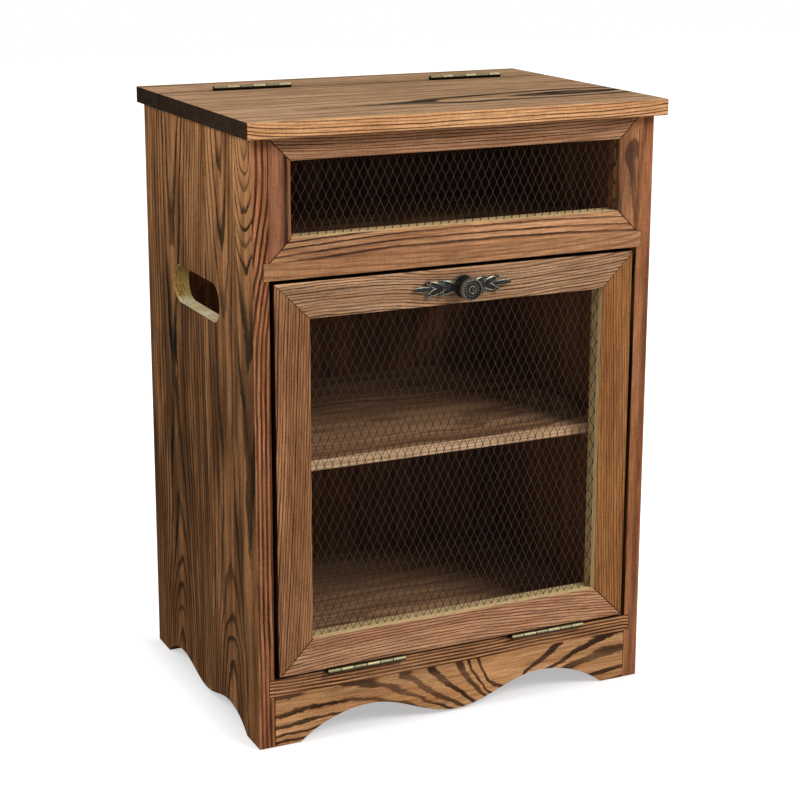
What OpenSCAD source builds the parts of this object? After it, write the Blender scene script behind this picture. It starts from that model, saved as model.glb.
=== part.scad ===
// Vegetable bin cabinet: a wooden case with a lidded bin on top behind a fixed net frame,
// and a net door below it that tilts down on two bottom hinges in front of two shelves.
// Millimetres, +Z up, front towards -Y, origin on the ground under the middle of the whole cabinet.

/* [Case] */
// Width over the two side panels
body_w = 386; // [340:1:440]
// Depth of the side panels, front edge to back edge
body_d = 276; // [240:1:320]
// Height of the side panels
side_h = 538; // [500:1:600]
// Thickness of the case boards
board_t = 15; // [13:0.5:18]
// Depth of the grooves in the side panels that hold the boards' ends
dado_d = 5; // [3:0.5:7]
// Thickness of the back panel
back_t = 5; // [3:0.5:7]
// Lap of the back panel on each side panel
back_lap = 6; // [5:0.5:9]
// Clear height of the top bin
bin_h = 104.5; // [90:0.5:120]
// Height of the bottom shelf's underside above the ground
toe_h = 47.5; // [40:0.5:60]

/* [Lid] */
// Thickness of the lid and of the fixed strip behind it
lid_t = 15; // [13:0.5:18]
// Overhang of the lid past each side panel
lid_over_side = 7; // [3:0.5:15]
// Overhang of the lid past the front edges of the side panels
lid_over_front = 12; // [6:0.5:20]
// Depth of the fixed strip
strip_d = 66; // [50:1:80]
// Clearance under the closed lid
lid_rest = 0.3; // [0.2:0.1:0.5]
// Chamfer along the front edges of the lid
lid_arris = 1; // [0.5:0.25:2]

/* [Middle shelf] */
// Thickness of the middle shelf
shelf_t = 10; // [8:0.5:15]
// Height of the middle shelf's top above the bottom shelf
shelf_rise = 189; // [150:1:210]
// Gap between the door's back and the middle shelf's front edge
shelf_setback = 6; // [4:0.5:20]
// Play round the middle shelf
shelf_play = 0.3; // [0.2:0.1:0.5]
// Side of the square cleats that carry the middle shelf
cleat_side = 15; // [12:0.5:18]
// Distance of the cleats' ends from the middle shelf's front and back edges
cleat_inset = 12; // [4:1:30]

/* [Scrolled bottoms] */
// Thickness of the front apron
apron_t = 15; // [12:0.5:18]
// Width of each foot of the front apron
apron_foot = 24; // [16:0.5:34]
// Height of the apron's two arches
apron_rise = 24; // [16:0.5:30]
// Height of the apron's middle drop above the ground
apron_drop = 2; // [1:0.5:6]
// Radius of the apron's outer arcs
apron_arc_r = 107; // [80:1:140]
// Width of each foot of a side panel
side_foot = 31.5; // [24:0.5:42]
// Height of a side panel's two arches
side_rise = 16; // [10:0.5:22]
// Height of a side panel's middle drop above the ground
side_drop = 4.5; // [2:0.5:8]
// Radius of a side panel's outer arcs
side_arc_r = 67; // [50:1:90]

/* [Handle slots] */
// Length of the handle slots
slot_l = 122; // [90:1:140]
// Height of the handle slots
slot_h = 35; // [28:0.5:42]
// Distance of the slots' top edge below the bin floor
slot_below = 19; // [10:0.5:40]
// Distance of the slots' middle from the side panels' front edge
slot_y = 142; // [120:1:160]

/* [Frames] */
// Thickness of both frames' members
frame_t = 18; // [15:0.5:22]
// Width of the upper frame's members
upper_member_w = 20; // [16:0.5:26]
// Width of the door's members
door_member_w = 31.5; // [28:0.5:40]
// Chamfer along the door's outer front edges
door_arris = 1.5; // [0.5:0.25:2.5]
// Distance of the door's face in front of the side panels' front edges
door_proud = 2; // [0:0.5:5]
// Gap between the door and each side panel
door_side_gap = 4; // [2:0.5:6]
// Gap between the door and the bin floor above it
door_top_gap = 3; // [2:0.5:6]

/* [Nets] */
// Thickness of the nets
net_t = 1; // [0.6:0.1:1.2]
// Width of a strand between two gaps
strand_w = 1.6; // [1:0.1:2.4]
// Distance of the nets' grooves behind the frames' front faces
net_set = 7; // [3:0.5:9]
// Depth of the nets' grooves in the members' inner edges
groove_d = 6; // [4:0.5:8]
// Play on each side of a net in its groove
net_play = 0.2; // [0.1:0.05:0.3]
// Width of a gap in the door's net
door_cell_w = 19; // [18:0.5:26]
// Height of a gap in the door's net
door_cell_h = 36; // [34:0.5:48]
// Width of a gap in the upper net
upper_cell_w = 13.2; // [12:0.2:18]
// Height of a gap in the upper net
upper_cell_h = 21.5; // [20:0.5:30]

/* [Hinges] */
// Length of the hinges
hinge_l = 76; // [60:1:90]
// Radius of the knuckles
barrel_r = 2.3; // [2:0.1:2.8]
// Radius of the hinge pins
pin_r = 1; // [0.8:0.1:1.3]
// Running clearance round the hinge pins
pin_play = 0.05; // [0.03:0.01:0.08]
// Distance of the pins' axis in front of the face that the knuckles stand on
pin_out = 2.2; // [2:0.1:2.6]
// Thickness of the hinge leaves
leaf_t = 1; // [0.8:0.1:1.3]
// Gap between two closed leaves
leaf_gap = 0.6; // [0.4:0.1:1]
// Width of a leaf on the board's edge
leaf_w = 12.5; // [11:0.5:14]
// Number of knuckles of a hinge
knuckles = 6; // [4:2:8]
// Clearance round the knuckles of the other leaf
knuckle_play = 0.3; // [0.2:0.05:0.5]
// Distance of each lid hinge's middle from the side panel next to it
lid_hinge_in = 68; // [50:1:90]
// Distance of each door hinge's middle from the side panel next to it
door_hinge_in = 86; // [60:1:110]

/* [Screws and dowels] */
// Radius of the wood screws
screw_r = 1.2; // [1:0.1:1.5]
// Radius of the wood screws' heads
screw_head_r = 2.3; // [2:0.1:2.8]
// Length of the short wood screws
screw_l = 12; // [9:0.5:12.5]
// Number of screws in a leaf
leaf_screws = 3; // [2:1:4]
// Distance between neighbouring screws in a leaf
leaf_screw_step = 25; // [18:1:27]
// Distance of a leaf's screws from the board's face
leaf_screw_in = 7; // [6:0.5:8]
// Length of the cleats' screws
cleat_screw_l = 24; // [20:1:27]
// Distance of the cleats' screws from the cleats' ends
cleat_screw_in = 35; // [20:1:60]
// Clearance round screws, nails and dowels in their holes
hole_play = 0.1; // [0.05:0.05:0.2]
// Radius of the dowels
dowel_r = 3; // [2:0.5:4]
// Length of the dowels
dowel_l = 22; // [16:1:26]
// Depth of a dowel in the upper one of its two boards
dowel_up = 9; // [6:0.5:10]
// Distance of the strip's dowels from its long edges
strip_dowel_in = 16; // [10:1:24]
// Distance between neighbouring dowels of the apron
apron_dowel_step = 125; // [80:1:140]
// Radius of the back panel's nails
nail_r = 0.8; // [0.6:0.1:1]
// Length of the back panel's nails
nail_l = 16; // [12:1:22]
// Radius of the nails' heads
nail_head_r = 1.8; // [1.4:0.1:2.2]
// Thickness of the nails' heads
nail_head_t = 0.8; // [0.5:0.1:1.2]
// Number of nails up each side between the bottom shelf and the bin floor
nail_count = 4; // [2:1:6]
// Distance of the end ones of these nails from the boards
nail_in = 20; // [12:1:40]

/* [Knob] */
// Radius of the knob's fluted rim
knob_r = 10; // [8:0.5:13]
// Length of the knob in front of its backplate
knob_l = 20; // [16:0.5:26]
// Radius of the knob's neck
knob_neck_r = 6; // [4:0.2:6.6]
// Radius of the knob's foot
knob_foot_r = 8.5; // [7.5:0.5:9.5]
// Number of flutes round the rim
flutes = 28; // [20:1:36]
// Radius of a flute
flute_r = 0.7; // [0.4:0.1:0.9]
// Thickness of the backplate
plate_t = 2; // [1.5:0.25:3]
// Radius of the backplate's round middle
plate_r = 10.5; // [10:0.5:13]
// Distance of each wing's tip from the backplate's middle
wing_l = 48; // [42:1:58]
// Length of a side leaf of the wings
leaflet_l = 16; // [12:0.5:18]
// Width of a side leaf of the wings
leaflet_w = 6; // [4:0.25:7]
// Angle of the side leaves to the wings' stem
leaflet_angle = 22; // [18:1:32]
// Number of side leaves along each edge of a wing
leaflets = 2; // [2:1:4]
// Radius of the curl at the tip of a side leaf
curl_r = 1.8; // [1.4:0.1:2.2]
// Radius of the knob's screw
knob_screw_r = 2; // [1.5:0.25:2.5]
// Reach of the knob's screw into the knob
knob_screw_in = 10; // [7:0.5:13]
// Radius of the head of the knob's screw
knob_screw_head_r = 3.8; // [3:0.2:4.5]
// Height of the head of the knob's screw
knob_screw_head_h = 2.4; // [1.6:0.2:3]

/* [Door catch] */
// Distance of the catch's middle from the right side panel
catch_in = 78; // [48:1:110]
// Width of the magnet housing
catch_w = 26; // [20:1:32]
// Depth of the magnet housing
catch_d = 14; // [11:0.5:18]
// Height of the magnet housing
catch_h = 12; // [10:0.5:15]
// Width over the two screw ears
catch_ears_w = 44; // [40:1:50]
// Thickness of the screw ears
catch_ear_t = 3; // [2:0.25:5]
// Gap between the magnet housing and the strike plate
catch_gap = 0.4; // [0.3:0.1:1]
// Width of the strike plate
strike_w = 30; // [24:1:36]
// Height of the strike plate
strike_h = 11; // [9:0.5:13]
// Thickness of the strike plate
strike_t = 1.2; // [1:0.1:1.6]
// Distance of the strike plate's top edge from the door's top edge
strike_in = 1.5; // [1:0.25:4]

/* [Hidden] */

$fn = 48;
arc_steps = 10;         // straight pieces in each curve of a scrolled edge
cut = 1;                // how far a cutter runs past the face that it opens

// Colours of the finishes
side_wood = [0.43, 0.29, 0.18];
front_wood = [0.65, 0.45, 0.31];
lid_wood = [0.52, 0.38, 0.28];
raw_wood = [0.75, 0.65, 0.50];
net_black = [0.10, 0.10, 0.10];
old_brass = [0.55, 0.47, 0.28];
pewter = [0.24, 0.23, 0.21];
zinc = [0.72, 0.72, 0.70];
plastic = [0.30, 0.22, 0.16];

// Planes across the width
side_x = body_w / 2;
inner_x = side_x - board_t;
lid_x = side_x + lid_over_side;

// Planes through the depth
reach = door_proud + plate_t + knob_l;
front_y = -(body_d - reach) / 2;
back_y = front_y + body_d;
back_face_y = back_y - back_t;
door_y = front_y - door_proud;
door_back_y = door_y + frame_t;
strip_y = back_y - strip_d;
hinge_gap = 2 * leaf_t + leaf_gap;
lid_back_y = strip_y - hinge_gap;
lid_front_y = front_y - lid_over_front;
shelf_front_y = door_back_y + shelf_setback;
shelf_back_y = back_face_y - shelf_play;
catch_y = door_back_y + strike_t + catch_gap;

// Heights
bottom_z = toe_h + board_t;
bin_z = side_h - bin_h;
bin_under_z = bin_z - board_t;
shelf_z = bottom_z + shelf_rise;
lid_z = side_h + lid_rest;
slot_z = bin_under_z - slot_below - slot_h / 2;
door_z = bottom_z + hinge_gap;
door_top_z = bin_under_z - door_top_gap;
knob_z = door_top_z - door_member_w / 2;
strike_z = door_top_z - strike_in - strike_h / 2;

// The wood screws' heads are as high as a hinge leaf is thick, so they end flush with it
screw_head_h = leaf_t;

// Outer sizes of the two frames and the grooves for their nets
upper_w = 2 * inner_x;
door_w = upper_w - 2 * door_side_gap;
door_h = door_top_z - door_z;
groove_w = net_t + 2 * net_play;

// Places of the hinges and the catch across the width
lid_hinge_x = inner_x - lid_hinge_in;
door_hinge_x = inner_x - door_hinge_in;
catch_x = inner_x - catch_in;

// Axes of the hinges
lid_pin_y = strip_y - hinge_gap / 2;
lid_pin_z = side_h + lid_t + pin_out;
door_pin_y = door_y - pin_out;
door_pin_z = bottom_z + hinge_gap / 2;

// Half of a scrolled edge, from its middle drop over the arch's top down to the foot's corner
function scroll_half(half_span, foot, rise, drop, r) =
    let (run = sqrt(r * r - (r - rise) * (r - rise)))
    let (peak = half_span - foot - run)
    concat(
        [for (i = [0:arc_steps])
            let (t = i / arc_steps)
            [peak * t, drop + (rise - drop) * (1 - cos(180 * t)) / 2]],
        [for (i = [1:arc_steps])
            let (x = run * i / arc_steps)
            [peak + x, rise - r + sqrt(r * r - x * x)]]
    );

// Cutter of a scrolled edge, centred on x = 0 over the ground line
module scroll_cutter(half_span, foot, rise, drop, r) {
    half = scroll_half(half_span, foot, rise, drop, r);
    for (side = [0, 1])
        mirror([side, 0])
            polygon(concat([[0, -cut]], half, [[half_span - foot, -cut]]));
}

// Hole for a screw, nail or dowel, from a face at z = 0 down
module pilot(r, depth) {
    translate([0, 0, -depth - cut])
        cylinder(r = r + hole_play, h = depth + 2 * cut);
}

// Countersunk wood screw, head flush with z = 0, pointing down
module wood_screw(length) {
    point_h = 3 * screw_r;
    translate([0, 0, -screw_head_h])
        cylinder(r1 = screw_r, r2 = screw_head_r, h = screw_head_h);
    translate([0, 0, point_h - length])
        cylinder(r = screw_r, h = length - point_h);
    translate([0, 0, -length])
        cylinder(r1 = screw_r / 4, r2 = screw_r, h = point_h);
}

// Countersunk clearance hole through a leaf or plate of the given thickness, from z = 0 down
module countersink(thickness) {
    translate([0, 0, -screw_head_h])
        cylinder(r1 = screw_r + hole_play, r2 = screw_head_r + hole_play, h = screw_head_h);
    pilot(screw_r, thickness);
}

module dowel() {
    translate([0, 0, dowel_up - dowel_l])
        cylinder(r = dowel_r, h = dowel_l);
}

// Places of what repeats
module at_strip_dowels() {
    for (x = [-1, 1] * (side_x - board_t / 2))
        for (y = [strip_y + strip_dowel_in, back_y - strip_dowel_in])
            translate([x, y, side_h])
                children();
}

module at_apron_dowels() {
    for (i = [-1:1])
        translate([i * apron_dowel_step, front_y + apron_t / 2, toe_h])
            children();
}

// Nails of the back panel, clear of the boards' ends: a row below the bin floor and one above it
module at_nails() {
    nail_step = (bin_under_z - bottom_z - 2 * nail_in) / (nail_count - 1);
    lower = [for (i = [0:nail_count - 1]) bottom_z + nail_in + i * nail_step];
    for (x = [-1, 1] * (inner_x + back_lap / 2))
        for (z = concat(lower, [bin_z + bin_h / 2]))
            translate([x, back_y, z])
                rotate([-90, 0, 0])
                    children();
}

module at_leaf_screws() {
    for (i = [0:leaf_screws - 1])
        translate([(i - (leaf_screws - 1) / 2) * leaf_screw_step, 0, 0])
            children();
}

// Screws of the lid hinges: side 1 points back into the strip, side -1 forward into the lid
module at_lid_hinge_screws(side) {
    for (x = [-1, 1] * lid_hinge_x)
        translate([x, lid_pin_y + side * leaf_gap / 2, side_h + lid_t - leaf_screw_in])
            rotate([side * 90, 0, 0])
                at_leaf_screws()
                    children();
}

// Screws of the door hinges: side 1 points up into the door, side -1 down into the shelf
module at_door_hinge_screws(side) {
    for (x = [-1, 1] * door_hinge_x)
        translate([x, door_y + leaf_screw_in, door_pin_z + side * leaf_gap / 2])
            rotate([side > 0 ? 180 : 0, 0, 0])
                at_leaf_screws()
                    children();
}

module at_cleat_screws(side) {
    for (y = [shelf_front_y + cleat_inset + cleat_screw_in, shelf_back_y - cleat_inset - cleat_screw_in])
        translate([side * (inner_x - cleat_side), y, shelf_z - shelf_t - cleat_side / 2])
            rotate([0, -90 * side, 0])
                children();
}

module at_catch() {
    translate([catch_x, catch_y, bin_under_z])
        children();
}

module at_catch_screws() {
    at_catch()
        for (x = [-1, 1] * (catch_w + catch_ears_w) / 4)
            translate([x, catch_d / 2, -catch_ear_t])
                rotate([180, 0, 0])
                    children();
}

module at_strike() {
    translate([catch_x, door_back_y + strike_t, strike_z])
        rotate([-90, 0, 0])
            children();
}

// ---- Case ----

// Side panel on the left, standing on its two feet: grooves for the boards, a rebate for the
// back panel, a handle slot and a scrolled bottom
module side_panel() {
    difference() {
        translate([-side_x, front_y, 0])
            rotate([90, 0, 90])
                linear_extrude(board_t)
                    difference() {
                        square([body_d, side_h]);
                        translate([body_d / 2, 0])
                            scroll_cutter(body_d / 2, side_foot, side_rise, side_drop, side_arc_r);
                    }
        // handle slot with round ends
        for (y = [-1, 1] * (slot_l - slot_h) / 2)
            translate([-side_x - cut, front_y + slot_y + y, slot_z])
                rotate([0, 90, 0])
                    cylinder(r = slot_h / 2, h = board_t + 2 * cut);
        translate([-side_x - cut, front_y + slot_y - (slot_l - slot_h) / 2, slot_z - slot_h / 2])
            cube([board_t + 2 * cut, slot_l - slot_h, slot_h]);
        // grooves for the bin floor and the bottom shelf, open at the front
        for (z = [bin_under_z, toe_h])
            translate([-inner_x - dado_d, front_y - cut, z])
                cube([dado_d + cut, body_d - back_t + cut, board_t]);
        // rebate for the back panel, from the bottom shelf's underside up
        translate([-inner_x - back_lap, back_face_y, toe_h])
            cube([back_lap + cut, back_t + cut, side_h - toe_h + cut]);
        at_nails()
            pilot(nail_r, nail_l);
        at_strip_dowels()
            pilot(dowel_r, dowel_l - dowel_up);
        at_cleat_screws(-1)
            pilot(screw_r, cleat_screw_l);
    }
}

module left_side_panel() {
    color(side_wood)
        side_panel();
}

module right_side_panel() {
    color(side_wood)
        mirror([1, 0, 0])
            side_panel();
}

module back_panel() {
    color(raw_wood)
        difference() {
            translate([-inner_x - back_lap, back_face_y, toe_h])
                cube([2 * (inner_x + back_lap), back_t, side_h - toe_h]);
            at_nails() {
                pilot(nail_r, nail_l);
                translate([0, 0, -nail_head_t])
                    cylinder(r = nail_head_r + hole_play, h = nail_head_t + cut);
            }
        }
}

// Strip along the back of the top: it never moves, and the lid hangs on it
module top_strip() {
    color(lid_wood)
        difference() {
            translate([-lid_x, strip_y, side_h])
                cube([2 * lid_x, strip_d, lid_t]);
            at_strip_dowels()
                translate([0, 0, -cut])
                    cylinder(r = dowel_r + hole_play, h = dowel_up + hole_play + cut);
            at_lid_hinge_screws(1)
                pilot(screw_r, screw_l);
        }
}

// Lid board with its front edges broken
module lid() {
    depth = lid_back_y - lid_front_y;
    color(lid_wood)
        difference() {
            translate([-lid_x, lid_front_y, lid_z])
                rotate([90, 0, 90])
                    linear_extrude(2 * lid_x)
                        polygon([
                            [lid_arris, 0], [depth, 0], [depth, lid_t - lid_rest],
                            [lid_arris, lid_t - lid_rest], [0, lid_t - lid_rest - lid_arris], [0, lid_arris]
                        ]);
            at_lid_hinge_screws(-1)
                pilot(screw_r, screw_l);
        }
}

// Board across the case with both ends in the side panels' grooves
module case_board(z) {
    translate([-inner_x - dado_d, front_y, z])
        cube([2 * (inner_x + dado_d), body_d - back_t, board_t]);
}

// Floor of the top bin: its front edge shows as the rail between the two frames
module bin_floor() {
    color(front_wood)
        difference() {
            case_board(bin_under_z);
            at_catch_screws()
                pilot(screw_r, screw_l);
        }
}

// Bottom shelf: its front edge shows as the rail under the door and carries the door's hinges
module bottom_shelf() {
    color(front_wood)
        difference() {
            case_board(toe_h);
            at_door_hinge_screws(-1)
                pilot(screw_r, screw_l);
            at_apron_dowels()
                translate([0, 0, -cut])
                    cylinder(r = dowel_r + hole_play, h = dowel_up + hole_play + cut);
        }
}

module middle_shelf() {
    color(raw_wood)
        translate([-inner_x + shelf_play, shelf_front_y, shelf_z - shelf_t])
            cube([2 * (inner_x - shelf_play), shelf_back_y - shelf_front_y, shelf_t]);
}

// Cleat under one end of the middle shelf, screwed to the side panel
module shelf_cleat(side) {
    length = shelf_back_y - shelf_front_y - 2 * cleat_inset;
    x = side < 0 ? -inner_x : inner_x - cleat_side;
    color(raw_wood)
        difference() {
            translate([x, shelf_front_y + cleat_inset, shelf_z - shelf_t - cleat_side])
                cube([cleat_side, length, cleat_side]);
            at_cleat_screws(side)
                countersink(cleat_screw_l);
        }
}

// Apron between the front feet, with two arches and a middle drop
module front_apron() {
    color(front_wood)
        difference() {
            translate([0, front_y + apron_t, 0])
                rotate([90, 0, 0])
                    linear_extrude(apron_t)
                        difference() {
                            translate([-inner_x, 0])
                                square([2 * inner_x, toe_h]);
                            scroll_cutter(inner_x, apron_foot, apron_rise, apron_drop, apron_arc_r);
                        }
            at_apron_dowels()
                pilot(dowel_r, dowel_l - dowel_up);
        }
}

// ---- Frames and nets ----

// Mitred member along X: outer edge on z = 0, front face on y = 0, and a groove for the net
// in the inner edge. The arris is the chamfer along the outer front edge.
module member(length, w, arris) {
    difference() {
        translate([0, frame_t, 0])
            rotate([90, 0, 0])
                linear_extrude(frame_t)
                    polygon([[0, 0], [length, 0], [length - w, w], [w, w]]);
        translate([-cut, net_set, w - groove_d])
            cube([length + 2 * cut, groove_w, groove_d + cut]);
        if (arris > 0)
            translate([length / 2, 0, 0])
                rotate([45, 0, 0])
                    cube([length + 2 * cut, arris * sqrt(2), arris * sqrt(2)], center = true);
    }
}

// The same member as a frame's bottom rail, top rail, left stile and right stile, for a frame
// of the given outer width and height with its lower left front corner on the origin
module bottom_member(w, h, member_w, arris) {
    member(w, member_w, arris);
}

module top_member(w, h, member_w, arris) {
    translate([0, 0, h])
        mirror([0, 0, 1])
            member(w, member_w, arris);
}

module left_member(w, h, member_w, arris) {
    mirror([1, 0, 0])
        rotate([0, -90, 0])
            member(h, member_w, arris);
}

module right_member(w, h, member_w, arris) {
    translate([w, 0, 0])
        rotate([0, -90, 0])
            member(h, member_w, arris);
}

// Net of diamond gaps that fills an opening, with a plain margin hidden in the frame's grooves.
// Gaps stand in staggered rows, and the ones cut by the opening's edges are halves.
module net(open_w, open_h, cell_w, cell_h) {
    cols = round(open_w / cell_w);
    rows = round(open_h / cell_h);
    half_w = open_w / cols / 2;
    half_h = open_h / rows / 2;
    // how far a gap's corners draw back from the strands' middles
    back_w = strand_w / 2 / sin(atan2(half_h, half_w));
    back_h = strand_w / 2 / cos(atan2(half_h, half_w));
    margin = groove_d - net_play;
    centres = [for (i = [0:2 * cols], j = [0:2 * rows]) if ((i + j) % 2 == 1) [i * half_w, j * half_h]];
    corners = [[half_w - back_w, 0], [0, half_h - back_h], [back_w - half_w, 0], [0, back_h - half_h]];
    slack = half_w / 100;
    gaps = [for (c = centres)
        [for (k = corners)
            let (p = c + k)
            if (p.x > -slack && p.x < open_w + slack && p.y > -slack && p.y < open_h + slack) p]];
    linear_extrude(net_t)
        difference() {
            translate([-margin, -margin])
                square([open_w + 2 * margin, open_h + 2 * margin]);
            for (g = gaps)
                polygon(g);
        }
}

module at_upper_frame() {
    translate([-inner_x, front_y, bin_z])
        children();
}

module at_door() {
    translate([-door_w / 2, door_y, door_z])
        children();
}

// A net stood up in the groove of a frame whose lower left front corner is the origin
module framed_net(w, h, member_w, cell_w, cell_h) {
    translate([member_w, net_set + net_play + net_t, member_w])
        rotate([90, 0, 0])
            net(w - 2 * member_w, h - 2 * member_w, cell_w, cell_h);
}

module upper_frame_top_rail() {
    color(front_wood)
        at_upper_frame()
            top_member(upper_w, bin_h, upper_member_w, 0);
}

module upper_frame_bottom_rail() {
    color(front_wood)
        at_upper_frame()
            bottom_member(upper_w, bin_h, upper_member_w, 0);
}

module upper_frame_left_stile() {
    color(front_wood)
        at_upper_frame()
            left_member(upper_w, bin_h, upper_member_w, 0);
}

module upper_frame_right_stile() {
    color(front_wood)
        at_upper_frame()
            right_member(upper_w, bin_h, upper_member_w, 0);
}

module upper_net() {
    color(net_black)
        at_upper_frame()
            framed_net(upper_w, bin_h, upper_member_w, upper_cell_w, upper_cell_h);
}

module door_top_rail() {
    color(front_wood)
        difference() {
            at_door()
                top_member(door_w, door_h, door_member_w, door_arris);
            translate([0, door_y, knob_z])
                rotate([90, 0, 0])
                    pilot(knob_screw_r, frame_t);
            at_strike()
                pilot(screw_r, screw_l);
        }
}

module door_bottom_rail() {
    color(front_wood)
        difference() {
            at_door()
                bottom_member(door_w, door_h, door_member_w, door_arris);
            at_door_hinge_screws(1)
                pilot(screw_r, screw_l);
        }
}

module door_left_stile() {
    color(front_wood)
        at_door()
            left_member(door_w, door_h, door_member_w, door_arris);
}

module door_right_stile() {
    color(front_wood)
        at_door()
            right_member(door_w, door_h, door_member_w, door_arris);
}

module door_net() {
    color(net_black)
        at_door()
            framed_net(door_w, door_h, door_member_w, door_cell_w, door_cell_h);
}

// ---- Knob ----

// Turned knob, foot on z = 0 and face up: foot, neck, fluted rim and a ringed face
module knob_form() {
    rim_z = 0.67 * knob_l;
    face_z = 0.9 * knob_l;
    difference() {
        rotate_extrude()
            polygon([
                [0, 0], [knob_foot_r, 0], [knob_foot_r, 1.5], [knob_foot_r - 1, 3],
                [knob_neck_r + 0.4, 0.25 * knob_l], [knob_neck_r, 0.35 * knob_l],
                [knob_neck_r + 0.2, 0.45 * knob_l], [knob_r - 1.2, 0.6 * knob_l],
                [knob_r, rim_z], [knob_r, face_z - 0.4], [knob_r - 1.2, knob_l - 0.6],
                [0.75 * knob_r, knob_l - 0.6], [0.68 * knob_r, face_z], [0.38 * knob_r, face_z],
                [0.3 * knob_r, knob_l - 0.3], [0.12 * knob_r, knob_l], [0, knob_l]
            ]);
        for (i = [0:flutes - 1])
            rotate([0, 0, i * 360 / flutes])
                translate([knob_r + flute_r / 3, 0, rim_z - flute_r])
                    cylinder(r = flute_r, h = knob_l);
        translate([0, 0, -cut])
            cylinder(r = knob_screw_r + pin_play, h = knob_screw_in + 1 + cut);
    }
}

// Pointed leaf outline from two arcs, from the origin along X
module leaf_outline(length, w) {
    r = (length * length + w * w) / (4 * w);
    intersection() {
        translate([length / 2, r - w / 2])
            circle(r);
        translate([length / 2, w / 2 - r])
            circle(r);
    }
}

// Places of the side leaves of both wings, each leaf along X
module at_leaflets() {
    leaf_step = (wing_l - plate_r - leaflet_l * 0.8) / leaflets;
    for (side = [0, 1])
        mirror([side, 0, 0])
            for (i = [0:leaflets - 1])
                for (turn = [-1, 1])
                    translate([plate_r - 3 + i * leaf_step, 0, 0])
                        rotate(turn * leaflet_angle)
                            children();
}

// Backplate with a leafy wing on each side of a round middle, flat on z = 0. The side leaves end
// in round curls with a dimple.
module backplate_form() {
    stem_x = plate_r * 0.6;
    wing_t = plate_t * 0.75;
    curl_x = leaflet_l - 0.8 * curl_r;
    difference() {
        union() {
            cylinder(r = plate_r, h = plate_t);
            linear_extrude(wing_t) {
                for (side = [0, 1])
                    mirror([side, 0])
                        translate([stem_x, 0])
                            leaf_outline(wing_l - stem_x, leaflet_w);
                at_leaflets() {
                    leaf_outline(leaflet_l, leaflet_w);
                    translate([curl_x, 0])
                        circle(curl_r);
                }
            }
        }
        at_leaflets()
            translate([curl_x, 0, wing_t / 2])
                cylinder(r = curl_r / 2, h = wing_t);
        translate([0, 0, -cut])
            cylinder(r = knob_screw_r + hole_play, h = plate_t + 2 * cut);
    }
}

module knob() {
    color(pewter)
        translate([0, door_y - plate_t, knob_z])
            rotate([90, 0, 0])
                knob_form();
}

module knob_backplate() {
    color(pewter)
        translate([0, door_y, knob_z])
            rotate([90, 0, 0])
                backplate_form();
}

// Machine screw from the back of the door's top rail into the knob
module knob_screw() {
    color(zinc)
        translate([0, door_back_y, knob_z])
            rotate([90, 0, 0]) {
                cylinder(r = knob_screw_r, h = frame_t + plate_t + knob_screw_in);
                translate([0, 0, -knob_screw_head_h])
                    cylinder(r = knob_screw_head_r, h = knob_screw_head_h);
            }
}

// ---- Hinges ----

// Leaf of a butt hinge. The pin lies along X through the origin, the joint goes down along -Z,
// and the leaf lies on the side +Y or -Y. Its own knuckles are every second one.
module hinge_leaf(side) {
    pitch = hinge_l / knuckles;
    first = side > 0 ? 0 : 1;
    y = side > 0 ? leaf_gap / 2 : -leaf_gap / 2 - leaf_t;
    depth = pin_out + leaf_w;
    top = barrel_r + knuckle_play;
    difference() {
        union() {
            translate([-hinge_l / 2, y, -depth])
                cube([hinge_l, leaf_t, depth - top]);
            for (i = [first:2:knuckles - 1])
                translate([-hinge_l / 2 + i * pitch + knuckle_play / 2, 0, 0]) {
                    rotate([0, 90, 0])
                        cylinder(r = barrel_r, h = pitch - knuckle_play);
                    translate([0, y, -top])
                        cube([pitch - knuckle_play, leaf_t, top]);
                }
        }
        translate([-hinge_l / 2 - cut, 0, 0])
            rotate([0, 90, 0])
                cylinder(r = pin_r + pin_play, h = hinge_l + 2 * cut);
        translate([0, side * leaf_gap / 2, -pin_out - leaf_screw_in])
            rotate([side * 90, 0, 0])
                at_leaf_screws()
                    countersink(leaf_t);
    }
}

module hinge_pin() {
    translate([-hinge_l / 2, 0, 0])
        rotate([0, 90, 0])
            cylinder(r = pin_r, h = hinge_l);
}

module at_lid_hinge(side) {
    translate([side * lid_hinge_x, lid_pin_y, lid_pin_z])
        children();
}

module at_door_hinge(side) {
    translate([side * door_hinge_x, door_pin_y, door_pin_z])
        rotate([90, 0, 0])
            children();
}

module lid_hinge_strip_leaf(side) {
    color(old_brass)
        at_lid_hinge(side)
            hinge_leaf(1);
}

module lid_hinge_lid_leaf(side) {
    color(old_brass)
        at_lid_hinge(side)
            hinge_leaf(-1);
}

module lid_hinge_pin(side) {
    color(old_brass)
        at_lid_hinge(side)
            hinge_pin();
}

module door_hinge_shelf_leaf(side) {
    color(old_brass)
        at_door_hinge(side)
            hinge_leaf(-1);
}

module door_hinge_door_leaf(side) {
    color(old_brass)
        at_door_hinge(side)
            hinge_leaf(1);
}

module door_hinge_pin(side) {
    color(old_brass)
        at_door_hinge(side)
            hinge_pin();
}

// ---- Screws, nails and dowels ----

module strip_leaf_screws() {
    color(old_brass)
        at_lid_hinge_screws(1)
            wood_screw(screw_l);
}

module lid_leaf_screws() {
    color(old_brass)
        at_lid_hinge_screws(-1)
            wood_screw(screw_l);
}

module shelf_leaf_screws() {
    color(old_brass)
        at_door_hinge_screws(-1)
            wood_screw(screw_l);
}

module door_leaf_screws() {
    color(old_brass)
        at_door_hinge_screws(1)
            wood_screw(screw_l);
}

module cleat_screws() {
    color(zinc)
        for (side = [-1, 1])
            at_cleat_screws(side)
                wood_screw(cleat_screw_l);
}

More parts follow.
